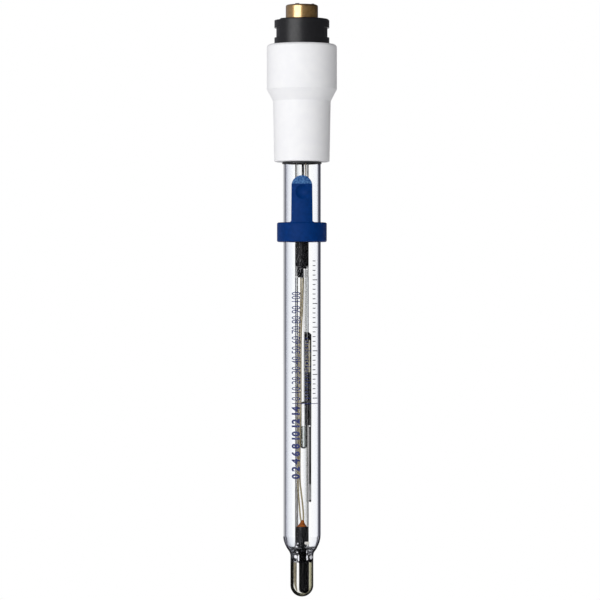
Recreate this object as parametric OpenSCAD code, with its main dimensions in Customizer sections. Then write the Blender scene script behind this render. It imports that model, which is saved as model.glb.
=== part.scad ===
// Combination pH electrode with a glass shaft, a filling slide and a plug-in head.
// All sizes in millimetres. The tip of the membrane is the origin and +Z runs up the shaft.
// The filling port and the slide's tab face -Y.

/* [Glass shaft] */
// Glass from the tip to the underside of the head cap
glass_length = 138.4; // [120:0.1:200]
// Outside diameter of the shaft
shaft_od = 12; // [11:0.1:13]
// Wall of the shaft
shaft_wall = 1; // [0.8:0.05:1.2]
// Height of the ring seal between shaft, stem and membrane
seal_z = 12.95; // [11:0.05:16]
// Radius of the shoulder's convex upper curve
shoulder_top_r = 9; // [8:0.1:12]
// Radius of the shoulder's concave foot
shoulder_foot_r = 2.75; // [2:0.05:3.5]
// Length of glass that is held inside the head cap
socket_depth = 11.6; // [8:0.1:13]

/* [Filling port] */
// Diameter of the filling port
port_d = 3; // [2:0.1:4]
// Distance from the cap down to the port's centre
port_drop = 13.4; // [12:0.1:20]

/* [Membrane and stem] */
// Outside diameter of the pH glass
membrane_od = 7.3; // [6.5:0.1:8]
// Wall of the pH glass
membrane_wall = 0.6; // [0.4:0.05:0.8]
// Outside diameter of the inner stem tube
stem_od = 4.35; // [4.2:0.05:4.6]
// Wall of the inner stem tube
stem_wall = 0.45; // [0.4:0.01:0.5]
// Height over which the stem's foot flares out to the ring seal
flare_h = 1.6; // [1:0.1:2.5]
// Length of stem that stands above the end of the shaft
stem_stand = 3; // [1:0.1:4]
// Diameter of the ceramic junction
junction_d = 1; // [0.6:0.1:1.4]
// Height of the ceramic junction above the ring seal
junction_rise = 4.45; // [3.5:0.05:5]
// Angle of the junction from the front
junction_turn = 20; // [0:1:60]

/* [Temperature sensor] */
// Diameter of the sensor's sheath
sheath_d = 3.2; // [2.4:0.1:3.3]
// Gap between the end of the sheath and the tip
sheath_gap = 1.4; // [1.2:0.1:3]
// Diameter of the sheath's neck, next to the plug
sheath_neck_d = 2.1; // [1.8:0.05:2.2]
// Length of the sheath's neck
sheath_neck_h = 2.7; // [2.6:0.1:3]
// Height of the cone between the sheath's neck and its body
sheath_cone_h = 0.5; // [0.3:0.05:1]
// Offset of the sheath's body to the right
sheath_x = 0.68; // [0.4:0.01:0.7]
// Height of the plug above the ring seal
plug_rise = 1.85; // [1.8:0.05:3]
// Length of the plug
plug_h = 7.6; // [6:0.1:10]
// Length of the plug's tapered foot
plug_taper_h = 2.9; // [1.5:0.1:3.5]
// Diameter at the end of the tapered foot
plug_foot_d = 2.2; // [1.8:0.1:2.6]
// Height of the resin cone on the plug
glue_h = 1.9; // [1:0.1:3]
// Diameter of the resin cone's top
glue_top_d = 1.5; // [1.35:0.05:2]
// Diameter of each sensor lead
lead_d = 0.6; // [0.3:0.05:0.6]
// Diameter of the measuring wire
wire_d = 0.44; // [0.3:0.02:0.46]
// Diameter of the silver chloride element on the wire's end
element_d = 0.88; // [0.6:0.02:0.9]
// Gap between the element and the membrane's wall
element_side = 0.41; // [0.36:0.01:0.5]
// Distance from the ring seal down to the element
element_drop = 1.75; // [1.4:0.05:3]
// Gap between the element's end and the tip
element_gap = 3.2; // [3:0.1:6]

/* [Inner capsule] */
// Height of the capsule's round end
capsule_z = 47.1; // [42:0.1:55]
// Length of the wide part
capsule_h = 15; // [12:0.1:20]
// Outside diameter of the wide part
capsule_od = 2.3; // [2:0.05:2.3]
// Offset of the capsule to the right
capsule_x = 0.55; // [0.45:0.01:0.57]
// Wall of the capsule and of its neck
capsule_wall = 0.2; // [0.12:0.01:0.25]
// Outside diameter of the capsule's neck
neck_od = 1; // [0.8:0.05:1]
// Offset of the neck from the capsule's own axis
neck_x = 0.55; // [0.4:0.01:0.6]
// Height of the fill in the capsule
capsule_fill_h = 6; // [3:0.1:10]

/* [Reference element] */
// Offset of the cartridge to the right
cartridge_x = 2.1; // [1.9:0.05:2.15]
// Offset of the cartridge to the back
cartridge_y = 2.95; // [2.9:0.05:3]
// Height of the cartridge's closed end
cartridge_z = 54; // [50:0.1:60]
// Length of the cartridge
cartridge_h = 28.6; // [24:0.1:34]
// Outside diameter of the cartridge
cartridge_od = 2.2; // [2:0.05:2.3]
// Wall of the cartridge
cartridge_wall = 0.18; // [0.12:0.01:0.25]
// Height of the dark fill
fill_h = 17; // [12:0.1:20]
// Depth that the cartridge's stopper goes in
stopper_in = 1; // [0.5:0.1:2]
// Height of the stopper above the cartridge
stopper_h = 1.6; // [1.2:0.1:2.5]
// Length of the rod below the cartridge
rod_h = 24; // [18:0.1:30]
// Diameter of the rod
rod_d = 0.8; // [0.6:0.05:0.9]
// Length of the porous pin at the rod's end
rod_pin_h = 0.9; // [0.5:0.1:2]
// Offset of the rod from the cartridge's axis
rod_x = 0.64; // [0.4:0.01:0.64]

/* [Upper plug and head wires] */
// Distance from the cap down to the foot of the stem's upper plug
stem_plug_drop = 36.8; // [30:0.1:50]
// Length of the stem's upper plug
stem_plug_h = 14.4; // [8:0.1:18]
// Height of the cut at the right of the plug's foot
plug_notch_h = 2.8; // [1:0.1:4]
// Length of the plug's narrower foot
plug_step_h = 3.6; // [3:0.1:6]
// Diameter of the dark head lead
head_lead_d = 0.76; // [0.5:0.02:0.8]
// Diameter of the pale head lead and of the reference wire
fine_lead_d = 0.36; // [0.2:0.02:0.4]

/* [Filling slide] */
// Outside diameter of the slide's ring
ring_od = 15.86; // [15:0.02:18]
// Height of the slide's ring
ring_h = 6.2; // [5:0.1:8]
// Edge radius of the ring
ring_edge = 0.5; // [0.3:0.05:0.8]
// Radial clearance of the slide on the shaft
slide_clearance = 0.06; // [0.02:0.01:0.1]
// Width of the tab under its round end
tab_top_w = 6.6; // [5:0.05:7.5]
// Width of the tab where it leaves the ring
tab_foot_w = 6.84; // [5:0.02:8]
// Height of the tab above the ring
tab_h = 14.8; // [12:0.1:16]
// Height of the port's centre above the ring
port_over_ring = 5.9; // [5:0.1:7]
// Thickness of the tab
tab_t = 1.6; // [1.3:0.05:1.85]
// How far the thumb lip stands out past the tab
lip_out = 0.6; // [0.3:0.05:1]
// Height over which the tab thickens to the lip
lip_rise = 5.4; // [4.5:0.1:6]
// Drop of the thumb lip's edge below the tab's top
lip_drop = 2.7; // [2:0.1:3.5]
// Thickness left at the tab's top
tab_top_t = 0.8; // [0.5:0.05:1]
// Radius of the round thumb hollow under the lip
hollow_r = 3.2; // [3:0.1:3.5]
// Depth of the thumb hollow
hollow_depth = 0.6; // [0.3:0.05:0.7]
// Height of the lip's edge above the hollow
hollow_edge = 0.25; // [0.2:0.05:0.5]
// Radius of the blend between tab and ring
tab_blend = 0.7; // [0.3:0.05:1]

/* [Head cap] */
// Diameter at the foot of the cap
cap_foot_d = 17.6; // [17:0.1:19]
// Diameter under the cap's cone
cap_mid_d = 18.34; // [18:0.02:19.5]
// Height of the cap's lower section
cap_low_h = 19.3; // [17:0.1:24]
// Height of the cap's cone
cap_cone_h = 3.8; // [3:0.1:6]
// Diameter of the cap's upper section
cap_top_d = 22.3; // [21:0.1:25]
// Height of the cap's upper section
cap_top_h = 14.3; // [13:0.1:18]
// Radius of the cap's upper edge
cap_edge = 1.1; // [0.6:0.1:1.6]
// Radius of the cap's lower edge
cap_foot_edge = 0.4; // [0.2:0.1:0.8]
// Diameter of the wiring chamber in the cap
chamber_d = 16.4; // [15.6:0.1:16.6]
// Height of the chamber's sloping floor
chamber_slope_h = 4; // [3:0.1:5]
// Height of the resin over the end of the shaft
potting_h = 6; // [5:0.1:8]
// Clearance of the shaft in the cap's socket
socket_clearance = 0.05; // [0.02:0.01:0.1]
// Depth of the shaft seal in the cap
seal_depth = 3; // [2:0.1:5]
// Radial thickness of the shaft seal
seal_t = 0.27; // [0.2:0.01:0.4]
// How far the shaft seal stands out under the cap
seal_out = 0.65; // [0.3:0.05:1]

/* [Locking collar] */
// Diameter of the collar
collar_d = 17.5; // [17:0.1:19]
// Height of the collar above the cap
collar_h = 8; // [7:0.1:10]
// Bevel of the collar's top edge
collar_bevel = 0.4; // [0.2:0.05:0.8]
// Height of the collar's flange under the locking windows
flange_h = 2.1; // [1.5:0.1:3]
// Height of the locking windows
window_h = 3.15; // [2.5:0.05:4]
// Depth of the locking windows
window_depth = 0.6; // [0.4:0.05:0.9]
// Half of the angle that each locking window covers
window_half = 37; // [25:1:45]
// Drop of the coding step on the left lug
step_drop = 0.35; // [0.2:0.05:0.6]
// Length of the collar's spigot inside the cap
spigot_h = 7.8; // [7:0.1:9]
// Clearance of the spigot in the cap
spigot_clearance = 0.05; // [0.03:0.01:0.1]
// Section diameter of the O-ring on the spigot
oring_d = 1; // [0.8:0.05:1.2]

/* [Contact sleeve] */
// Diameter of the sleeve's visible spigot
sleeve_d = 10.28; // [9.8:0.02:10.6]
// Height of the sleeve above the collar's top
sleeve_h = 4.6; // [4:0.1:6]
// Radius of the sleeve's upper edge
sleeve_edge = 0.6; // [0.3:0.05:0.8]
// Diameter of the sleeve inside the collar
shank_d = 11.2; // [11:0.1:12]
// Depth of the sleeve's shoulder below the collar's top
shoulder_sink = 0.1; // [0.05:0.05:0.4]
// Bore of the sleeve
sleeve_bore_d = 8.4; // [8:0.1:8.8]
// Clearance of the sleeve in the collar
sleeve_clearance = 0.05; // [0.03:0.01:0.1]
// Depth of the pin field below the sleeve's rim
pin_floor = 8.2; // [7:0.1:9]
// Number of outer pins
pin_count = 7; // [4:1:8]
// Diameter of the ring of outer pins
pin_circle_d = 5.4; // [5:0.1:5.8]
// Diameter of each pin
pin_d = 0.8; // [0.6:0.05:1]
// Length of the pins above the floor
pin_h = 6.6; // [5:0.1:6.8]
// Length of the pins' tails under the insulator
pin_tail = 1.6; // [1:0.1:2.5]
// Number of coding ribs inside the sleeve
rib_count = 4; // [2:1:4]
// Width of each coding rib
rib_w = 1.3; // [0.8:0.1:1.6]
// Thickness of each coding rib
rib_t = 0.6; // [0.4:0.05:0.7]
// How far the coding ribs stand above the rim
rib_over = 0.25; // [0.1:0.05:0.4]
// Angle of the first coding rib from the right
rib_start = 248; // [0:1:359]

/* [Hidden] */
$fn = 72;
// Small overrun of a cutter past the face that it cuts
over = 1;
// Diameter of a wire's bend, as a share of the wire's own
bend_swell = 1.08;
// Turn of each bar about its own axis, so that no two bars' seams meet in a bend
bar_turn = 137;
// Clearance of a loose fill in its glass
fill_gap = 0.03;
shaft_r = shaft_od / 2;
shaft_bore_r = shaft_r - shaft_wall;
membrane_r = membrane_od / 2;
stem_r = stem_od / 2;
bore_r = stem_r - stem_wall;
foot_bore_r = membrane_r - shaft_wall;
cap_z = glass_length;
shaft_top_z = cap_z + socket_depth;
stem_top_z = shaft_top_z + stem_stand;
// Angle that the two arcs of the shoulder turn through
shoulder_turn = acos(1 - (shaft_r - membrane_r) / (shoulder_top_r + shoulder_foot_r));
shoulder_join_z = seal_z + shoulder_foot_r * sin(shoulder_turn);
shoulder_top_z = shoulder_join_z + shoulder_top_r * sin(shoulder_turn);
shoulder_join_r = membrane_r + shoulder_foot_r * (1 - cos(shoulder_turn));
port_z = cap_z - port_drop;
junction_z = seal_z + junction_rise;
plug_z = seal_z + plug_rise;
plug_top_z = plug_z + plug_h;
glue_top_z = plug_top_z + glue_h;
// The measuring wire lies along the left of the stem's bore
wire_x = -(bore_r - wire_d / 2 - 0.05);
// The silver element hangs to the left of the sheath
element_x = -(membrane_r - membrane_wall - element_side - element_d / 2);
element_top_z = seal_z - element_drop;
capsule_r = capsule_od / 2;
neck_axis_x = capsule_x + neck_x;
stem_plug_z = cap_z - stem_plug_drop;
stem_plug_top_z = stem_plug_z + stem_plug_h;
cartridge_r = cartridge_od / 2;
cartridge_bore_r = cartridge_r - cartridge_wall;
cartridge_top_z = cartridge_z + cartridge_h;
cartridge_floor = 0.4;
fill_top_z = cartridge_z + cartridge_floor + fill_h;
rod_axis_x = cartridge_x + rod_x;
rod_pin_z = cartridge_z - rod_h;
slide_bore_r = shaft_r + slide_clearance;
tab_r = slide_bore_r + tab_t;
lip_z = tab_h - lip_drop;
ring_z = port_z - port_over_ring - ring_h;
tab_z = ring_z + ring_h;
tab_top_z = tab_z + tab_h;
seal_r = shaft_r + seal_t;
cap_cone_z = cap_z + cap_low_h;
cap_wide_z = cap_cone_z + cap_cone_h;
cap_top_z = cap_wide_z + cap_top_h;
chamber_r = chamber_d / 2;
socket_r = shaft_r + socket_clearance;
chamber_floor_z = shaft_top_z + 2;
chamber_z = chamber_floor_z + chamber_slope_h;
potting_top_z = shaft_top_z + potting_h;
spigot_z = cap_top_z - spigot_h;
spigot_r = chamber_r - spigot_clearance;
collar_top_z = cap_top_z + collar_h;
window_z = cap_top_z + flange_h;
sleeve_r = sleeve_d / 2;
shank_r = shank_d / 2;
sleeve_bore_r = sleeve_bore_d / 2;
shank_top_z = collar_top_z - shoulder_sink;
rim_z = collar_top_z + sleeve_h;
pin_floor_z = rim_z - pin_floor;
tail_z = spigot_z - pin_tail;
// Height at which the head wires start to bend to their pins
bend_z = potting_top_z + 1.5;
oring_z = spigot_z + spigot_h / 2;
// Depth of the O-ring's groove in the spigot
groove_r = chamber_r - oring_d;
dark_lead_x = 0.32;
pale_lead_x = 1.16;
reference_wire_x = cartridge_x - 0.55;

// Section of the whole glass shoulder and shaft, moved in by a wall's thickness
module shaft_section(inset, z_top) {
  join_r = shoulder_join_r - inset * cos(shoulder_turn);
  join_z = shoulder_join_z + inset * sin(shoulder_turn);
  union() {
    translate([0, shoulder_top_z])
      square([shaft_r - inset, z_top - shoulder_top_z]);
    intersection() {
      translate([shaft_r - shoulder_top_r, shoulder_top_z])
        circle(r = shoulder_top_r - inset);
      translate([0, join_z])
        square([shaft_r, shoulder_top_z - join_z]);
    }
    difference() {
      translate([0, seal_z])
        square([join_r, join_z - seal_z]);
      translate([membrane_r + shoulder_foot_r, seal_z])
        circle(r = shoulder_foot_r + inset);
    }
  }
}

// Straight round bar between two points
module bar(a, b, d) {
  v = b - a;
  translate(a)
    rotate([0, atan2(norm([v[0], v[1]]), v[2]), atan2(v[1], v[0])])
      rotate([0, 0, bar_turn])
        cylinder(d = d, h = norm(v));
}

// Bent wire through a list of points. Each bend is a ball a little fuller than the wire
module wire(points, d) {
  for (i = [0 : len(points) - 2])
    bar(points[i], points[i + 1], d);
  for (i = [1 : len(points) - 2])
    translate(points[i])
      sphere(d = bend_swell * d);
}

// Points on a circle for the outer pins, the first one at the back
function pin_place(i) = [
  pin_circle_d / 2 * sin(360 * i / pin_count),
  pin_circle_d / 2 * cos(360 * i / pin_count)
];

module shaft_tube() {
  color([0.86, 0.88, 0.93, 0.35])
    difference() {
      rotate_extrude()
        difference() {
          shaft_section(0, shaft_top_z);
          shaft_section(shaft_wall, shaft_top_z + over);
          // leaves the ring seal's foot open for the stem
          translate([0, seal_z - over])
            square([foot_bore_r, 2 * over]);
        }
      translate([0, -shaft_bore_r / 2, port_z])
        rotate([90, 0, 0])
          cylinder(d = port_d, h = shaft_r);
      junction_bar();
    }
}

// Radial pin through the shoulder's wall
module junction_bar() {
  rotate([0, 0, junction_turn - 90])
    translate([0, 0, junction_z])
      rotate([0, 90, 0])
        translate([0, 0, membrane_r])
          cylinder(d = junction_d, h = shaft_r);
}

module ceramic_junction() {
  color("white")
    intersection() {
      junction_bar();
      rotate_extrude()
        shaft_section(0, shoulder_top_z + over);
    }
}

// Straight stem tube with a trumpet foot that flares out to the ring seal
module stem_tube() {
  flare_w = foot_bore_r - stem_r;
  // radius of the curve that leaves the stem upright and ends at the ring seal
  flare_r = (flare_h * flare_h + flare_w * flare_w) / (2 * flare_w);
  color([0.86, 0.9, 0.93, 0.35])
    rotate_extrude()
      difference() {
        union() {
          translate([0, seal_z])
            square([stem_r, stem_top_z - seal_z]);
          difference() {
            translate([0, seal_z])
              square([foot_bore_r, flare_h]);
            translate([stem_r + flare_r, seal_z + flare_h])
              circle(r = flare_r);
          }
        }
        translate([0, seal_z - over])
          square([bore_r, stem_top_z - seal_z + 2 * over]);
      }
}

// Thimble of pH glass with a half-round end
module glass_membrane() {
  inner_r = membrane_r - membrane_wall;
  color([0.8, 0.8, 0.66, 0.45])
    rotate_extrude()
      difference() {
        union() {
          intersection() {
            translate([0, membrane_r])
              circle(r = membrane_r);
            square([membrane_r, membrane_r]);
          }
          translate([0, membrane_r])
            square([membrane_r, seal_z - membrane_r]);
        }
        translate([0, membrane_r])
          circle(r = inner_r);
        translate([0, membrane_r])
          square([inner_r, seal_z]);
      }
}

// Closed sheath of the temperature sensor. Its neck leans from the plug to the upright body
module sensor_sheath() {
  r = sheath_d / 2;
  neck_z = plug_z - sheath_neck_h;
  body_z = neck_z - sheath_cone_h;
  neck_lean = sheath_x / sheath_neck_h;
  color([0.12, 0.12, 0.13])
    difference() {
      union() {
        wire([
          [-neck_lean * over, 0, plug_z + over],
          [sheath_x, 0, neck_z],
          [sheath_x, 0, body_z - over]
        ], sheath_neck_d);
        translate([sheath_x, 0, body_z])
          cylinder(r1 = r, r2 = sheath_neck_d / 2, h = sheath_cone_h);
        translate([sheath_x, 0, sheath_gap + r]) {
          cylinder(r = r, h = body_z - sheath_gap - r);
          sphere(r = r);
        }
      }
      translate([-shaft_r, -shaft_r, plug_z])
        cube([shaft_od, shaft_od, 4 * over]);
    }
}

// Groove for the measuring wire, down one side of a plug
module wire_groove(z, h) {
  translate([wire_x, 0, z - over])
    cylinder(d = wire_d + 0.06, h = h + 2 * over);
  translate([wire_x - wire_d, -wire_d / 2 - 0.03, z - over])
    cube([wire_d, wire_d + 0.06, h + 2 * over]);
}

// Plug that holds the sheath in the stem, with a tapered foot
module sensor_plug() {
  color([0.09, 0.09, 0.1])
    difference() {
      union() {
        translate([0, 0, plug_z + plug_taper_h])
          cylinder(r = bore_r, h = plug_h - plug_taper_h);
        translate([0, 0, plug_z])
          cylinder(r1 = plug_foot_d / 2, r2 = bore_r, h = plug_taper_h);
      }
      wire_groove(plug_z, plug_h);
    }
}

// Cone of amber resin where the sensor's leads leave the plug
module sensor_resin() {
  color([0.66, 0.33, 0.08])
    difference() {
      translate([0, 0, plug_top_z])
        cylinder(r1 = bore_r - 0.1, r2 = glue_top_d / 2, h = glue_h);
      wire_groove(plug_top_z, glue_h);
    }
}

// The leads drift to the left of the capsule and come back to the resin
lead_left_points = [
  [-0.32, 0.1, stem_plug_z],
  [-0.32, 0.1, stem_plug_z - 1.5],
  [-0.85, 0, capsule_z + capsule_h + 0.6],
  [-1.02, -0.52, capsule_z + 2.7],
  [-1.02, -0.52, glue_top_z + 12.2],
  [-0.38, 0, glue_top_z + 1.7],
  [-0.38, 0, glue_top_z]
];
lead_right_points = [
  [0.34, -0.42, stem_plug_z],
  [0.34, -0.42, stem_plug_z - 1.5],
  [-0.22, -1.2, capsule_z + capsule_h + 0.6],
  [-0.58, -1.1, capsule_z + 2.7],
  [-0.41, -0.9, glue_top_z + 12.2],
  [0.06, -0.6, glue_top_z + 8.7],
  [0.34, -0.2, glue_top_z + 3.2],
  [0.34, 0, glue_top_z + 1.5],
  [0.34, 0, glue_top_z]
];

module sensor_lead_left() {
  color([0.47, 0.43, 0.27])
    wire(lead_left_points, lead_d);
}

module sensor_lead_right() {
  color([0.5, 0.46, 0.28])
    wire(lead_right_points, lead_d);
}

// Coated silver wire from the upper plug to the element in the membrane
module measuring_wire() {
  color([0.2, 0.19, 0.2])
    wire([
      [wire_x, 0, stem_plug_z],
      [wire_x, 0, seal_z - 0.05],
      [element_x, 0, element_top_z + 0.4],
      [element_x, 0, element_top_z]
    ], wire_d);
}

// Silver chloride element with a rounded end, beside the sheath
module silver_element() {
  r = element_d / 2;
  color([0.42, 0.38, 0.32])
    translate([element_x, 0, element_gap + r]) {
      cylinder(r = r, h = element_top_z - element_gap - r);
      sphere(r = r);
    }
}

// Space or wall of the capsule, smaller by an inset
module capsule_form(inset, z_top) {
  r = capsule_r - inset;
  translate([capsule_x, 0, capsule_z + capsule_r]) {
    sphere(r = r);
    cylinder(r = r, h = capsule_h - 2 * capsule_r);
    translate([0, 0, capsule_h - 2 * capsule_r])
      sphere(r = r);
  }
  translate([neck_axis_x, 0, capsule_z + capsule_h - capsule_r])
    cylinder(d = neck_od - 2 * inset, h = z_top - capsule_z - capsule_h + capsule_r);
}

// Glass capsule of the inner reference, with a fine neck up to the plug
module inner_capsule() {
  color([0.85, 0.88, 0.9, 0.4])
    difference() {
      capsule_form(0, stem_plug_z + plug_notch_h - 0.3);
      capsule_form(capsule_wall, stem_plug_z + plug_notch_h + over);
    }
}

module capsule_fill() {
  r = capsule_r - capsule_wall - fill_gap;
  color([0.25, 0.28, 0.24])
    translate([capsule_x, 0, capsule_z + capsule_r]) {
      cylinder(r = r, h = capsule_fill_h);
      sphere(r = r);
    }
}

// Plug in the upper stem. Its narrower foot is cut away on the right for the capsule's neck
module stem_plug() {
  foot_r = bore_r - 0.12;
  color([0.07, 0.07, 0.07])
    difference() {
      union() {
        translate([0, 0, stem_plug_z + plug_step_h])
          cylinder(r = bore_r, h = stem_plug_h - plug_step_h);
        rotate_extrude()
          difference() {
            translate([0, stem_plug_z])
              square([foot_r, plug_step_h]);
            translate([foot_r - 0.3, stem_plug_z - over])
              polygon([[0, 0], [over, 0], [over, over + 0.6], [0.3, over + 0.6], [0, over]]);
          }
      }
      translate([neck_axis_x - neck_od / 2 - 0.1, -bore_r, stem_plug_z - over])
        cube([2 * bore_r, 2 * bore_r, plug_notch_h + over]);
    }
}

// Closed glass tube of the outer reference
module reference_cartridge() {
  color([0.85, 0.87, 0.8, 0.4])
    translate([cartridge_x, cartridge_y, cartridge_z])
      difference() {
        cylinder(r = cartridge_r, h = cartridge_h);
        translate([0, 0, cartridge_floor])
          cylinder(r = cartridge_bore_r, h = cartridge_h);
      }
}

module cartridge_fill() {
  color([0.08, 0.08, 0.09])
    translate([cartridge_x, cartridge_y, cartridge_z + cartridge_floor])
      cylinder(r = cartridge_bore_r - fill_gap, h = fill_h);
}

module cartridge_wool() {
  color([0.85, 0.82, 0.68])
    translate([cartridge_x, cartridge_y, fill_top_z])
      cylinder(r = cartridge_bore_r - fill_gap, h = cartridge_top_z - stopper_in - fill_top_z);
}

// Stopper of the cartridge, cut at a slant, with a hole for the reference wire
module cartridge_stopper() {
  color([0.13, 0.12, 0.16])
    difference() {
      translate([cartridge_x, cartridge_y, 0]) {
        translate([0, 0, cartridge_top_z - stopper_in])
          cylinder(r = cartridge_bore_r - fill_gap, h = stopper_in);
        translate([0, 0, cartridge_top_z])
          cylinder(r = cartridge_r, h = stopper_h);
      }
      translate([cartridge_x + cartridge_r, cartridge_y, cartridge_top_z + stopper_h / 2])
        rotate([0, 40, 0])
          translate([-2 * cartridge_r, -2 * cartridge_r, 0])
            cube([4 * cartridge_r, 4 * cartridge_r, 4 * cartridge_r]);
    }
}

module reference_rod() {
  color([0.16, 0.16, 0.17])
    translate([rod_axis_x, cartridge_y, rod_pin_z + rod_pin_h])
      cylinder(d = rod_d, h = rod_h - rod_pin_h);
}

// Porous pin with a rounded end under the rod
module rod_pin() {
  color([0.1, 0.1, 0.1])
    translate([rod_axis_x, cartridge_y, 0]) {
      translate([0, 0, rod_pin_z + rod_d / 2])
        cylinder(d = rod_d, h = rod_pin_h - rod_d / 2);
      translate([0, 0, rod_pin_z + rod_d / 2])
        sphere(d = rod_d);
    }
}

// Each head wire runs straight up through the resin and bends to its pin's tail
module head_wire(x, y, z, pin, d) {
  place = pin_place(pin);
  wire([
    [x, y, z],
    [x, y, bend_z],
    [place[0], place[1], tail_z - 1],
    [place[0], place[1], tail_z]
  ], d);
}

module reference_wire() {
  color([0.3, 0.3, 0.33])
    difference() {
      head_wire(reference_wire_x, cartridge_y, cartridge_top_z, 0, fine_lead_d);
      cartridge_stopper_block();
    }
}

// Space under the stopper's slanted top
module cartridge_stopper_block() {
  difference() {
    translate([cartridge_x, cartridge_y, cartridge_top_z - over])
      cylinder(r = 2 * cartridge_r, h = stopper_h + over);
    translate([cartridge_x + cartridge_r, cartridge_y, cartridge_top_z + stopper_h / 2])
      rotate([0, 40, 0])
        translate([-4 * cartridge_r, -4 * cartridge_r, 0])
          cube([8 * cartridge_r, 8 * cartridge_r, 8 * cartridge_r]);
  }
}

module head_lead_dark() {
  color([0.06, 0.06, 0.06])
    head_wire(dark_lead_x, 0, stem_plug_top_z, 2, head_lead_d);
}

module head_lead_pale() {
  color([0.76, 0.7, 0.62])
    head_wire(pale_lead_x, 0, stem_plug_top_z, 1, fine_lead_d);
}

module shaft_seal() {
  color([0.08, 0.08, 0.08])
    translate([0, 0, cap_z - seal_out])
      difference() {
        cylinder(r = seal_r, h = seal_out + seal_depth);
        translate([0, 0, -over])
          cylinder(r = shaft_r, h = seal_out + seal_depth + 2 * over);
      }
}

// Section of the cap's outside, with rounded edges
module cap_outline() {
  foot_r = cap_foot_d / 2;
  top_r = cap_top_d / 2;
  difference() {
    polygon([
      [0, cap_z], [foot_r, cap_z], [cap_mid_d / 2, cap_cone_z],
      [top_r, cap_wide_z], [top_r, cap_top_z], [0, cap_top_z]
    ]);
    translate([top_r - cap_edge, cap_top_z - cap_edge])
      edge_cut(cap_edge);
    translate([foot_r - cap_foot_edge, cap_z + cap_foot_edge])
      mirror([0, 1])
        edge_cut(cap_foot_edge);
  }
}

// Corner left outside a quarter round, for cutting an edge's radius
module edge_cut(r) {
  difference() {
    square([r + over, r + over]);
    circle(r = r);
  }
}

// White moulded cap with a socket for the glass and an open chamber for the wiring
module head_cap() {
  color([0.93, 0.93, 0.94])
    rotate_extrude()
      difference() {
        cap_outline();
        translate([0, cap_z - over])
          square([seal_r, seal_depth + over]);
        translate([0, cap_z])
          square([socket_r, chamber_floor_z - cap_z]);
        polygon([
          [0, chamber_floor_z], [socket_r, chamber_floor_z],
          [chamber_r, chamber_z], [0, chamber_z]
        ]);
        translate([0, chamber_z])
          square([chamber_r, cap_top_z - chamber_z + over]);
      }
}

// Resin that bonds the glass in the cap and carries the head wires
module cap_potting() {
  slope = (chamber_r - socket_r) / chamber_slope_h;
  color([0.75, 0.66, 0.42])
    difference() {
      rotate_extrude()
        polygon([
          [0, shaft_top_z], [socket_r, shaft_top_z], [socket_r, chamber_floor_z],
          [socket_r + slope * (potting_top_z - chamber_floor_z), potting_top_z],
          [0, potting_top_z]
        ]);
      translate([0, 0, shaft_top_z - over])
        cylinder(r = stem_r, h = stem_stand + over);
      for (hole = [
        [reference_wire_x, cartridge_y, fine_lead_d],
        [dark_lead_x, 0, head_lead_d],
        [pale_lead_x, 0, fine_lead_d]
      ])
        translate([hole[0], hole[1], shaft_top_z - over])
          cylinder(d = hole[2], h = potting_h + 2 * over);
    }
}

// Black collar with a locking window at each side and a coding step on the left lug
module locking_collar() {
  r = collar_d / 2;
  color([0.11, 0.11, 0.12])
    difference() {
      rotate_extrude()
        difference() {
          union() {
            translate([0, cap_top_z])
              square([r, collar_h]);
            translate([0, spigot_z])
              square([spigot_r, spigot_h]);
          }
          translate([r - collar_bevel, collar_top_z])
            polygon([[-over, over], [0, 0], [over, -over], [over, over]]);
          translate([groove_r, oring_z - oring_d / 2 - 0.1])
            square([oring_d + over, oring_d + 0.2]);
          translate([0, spigot_z - over])
            square([shank_r + sleeve_clearance, spigot_h + collar_h + 2 * over]);
        }
      for (side = [0, 180])
        rotate([0, 0, side - window_half])
          rotate_extrude(angle = 2 * window_half)
            translate([r - window_depth, window_z])
              square([window_depth + over, window_h]);
      rotate([0, 0, 180 - window_half])
        rotate_extrude(angle = 2 * window_half)
          translate([r - 1.6, collar_top_z - step_drop])
            square([1.6 + over, step_drop + over]);
    }
}

module collar_oring() {
  color([0.05, 0.05, 0.05])
    translate([0, 0, oring_z])
      rotate_extrude()
        translate([groove_r + oring_d / 2, 0])
          circle(d = oring_d);
}

// Turned brass sleeve with a shoulder that the collar traps
module contact_sleeve() {
  color([0.79, 0.63, 0.29])
    rotate_extrude()
      difference() {
        union() {
          translate([0, spigot_z])
            square([shank_r, shank_top_z - spigot_z]);
          difference() {
            translate([0, shank_top_z])
              square([sleeve_r, rim_z - shank_top_z]);
            translate([sleeve_r - sleeve_edge, rim_z - sleeve_edge])
              edge_cut(sleeve_edge);
          }
        }
        translate([0, spigot_z - over])
          square([sleeve_bore_r, rim_z - spigot_z + 2 * over]);
      }
}

// Insulator with coding ribs that run up the inside of the sleeve
module pin_insulator() {
  r = sleeve_bore_r - fill_gap;
  rib_r = r - 0.05;
  rib_turn = 2 * asin(rib_w / 2 / rib_r);
  color([0.2, 0.16, 0.12])
    difference() {
      union() {
        translate([0, 0, spigot_z])
          cylinder(r = r, h = pin_floor_z - spigot_z);
        for (i = [0 : rib_count - 1])
          rotate([0, 0, 360 * i / rib_count + rib_start - rib_turn / 2])
            rotate_extrude(angle = rib_turn)
              translate([rib_r - rib_t, pin_floor_z - over])
                square([rib_t, pin_floor + rib_over + over]);
      }
      pin_field(0, 0);
    }
}

// All the pins, or the holes that they sit in
module pin_field(lower, upper) {
  z = spigot_z - over - lower;
  h = pin_floor_z - spigot_z + 2 * over + lower + upper;
  translate([0, 0, z])
    cylinder(d = pin_d, h = h);
  for (i = [0 : pin_count - 1])
    translate([pin_place(i)[0], pin_place(i)[1], z])
      cylinder(d = pin_d, h = h);
}

module contact_pins() {
  color([0.83, 0.68, 0.35])
    pin_field(pin_tail - over, pin_h - over);
}

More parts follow.
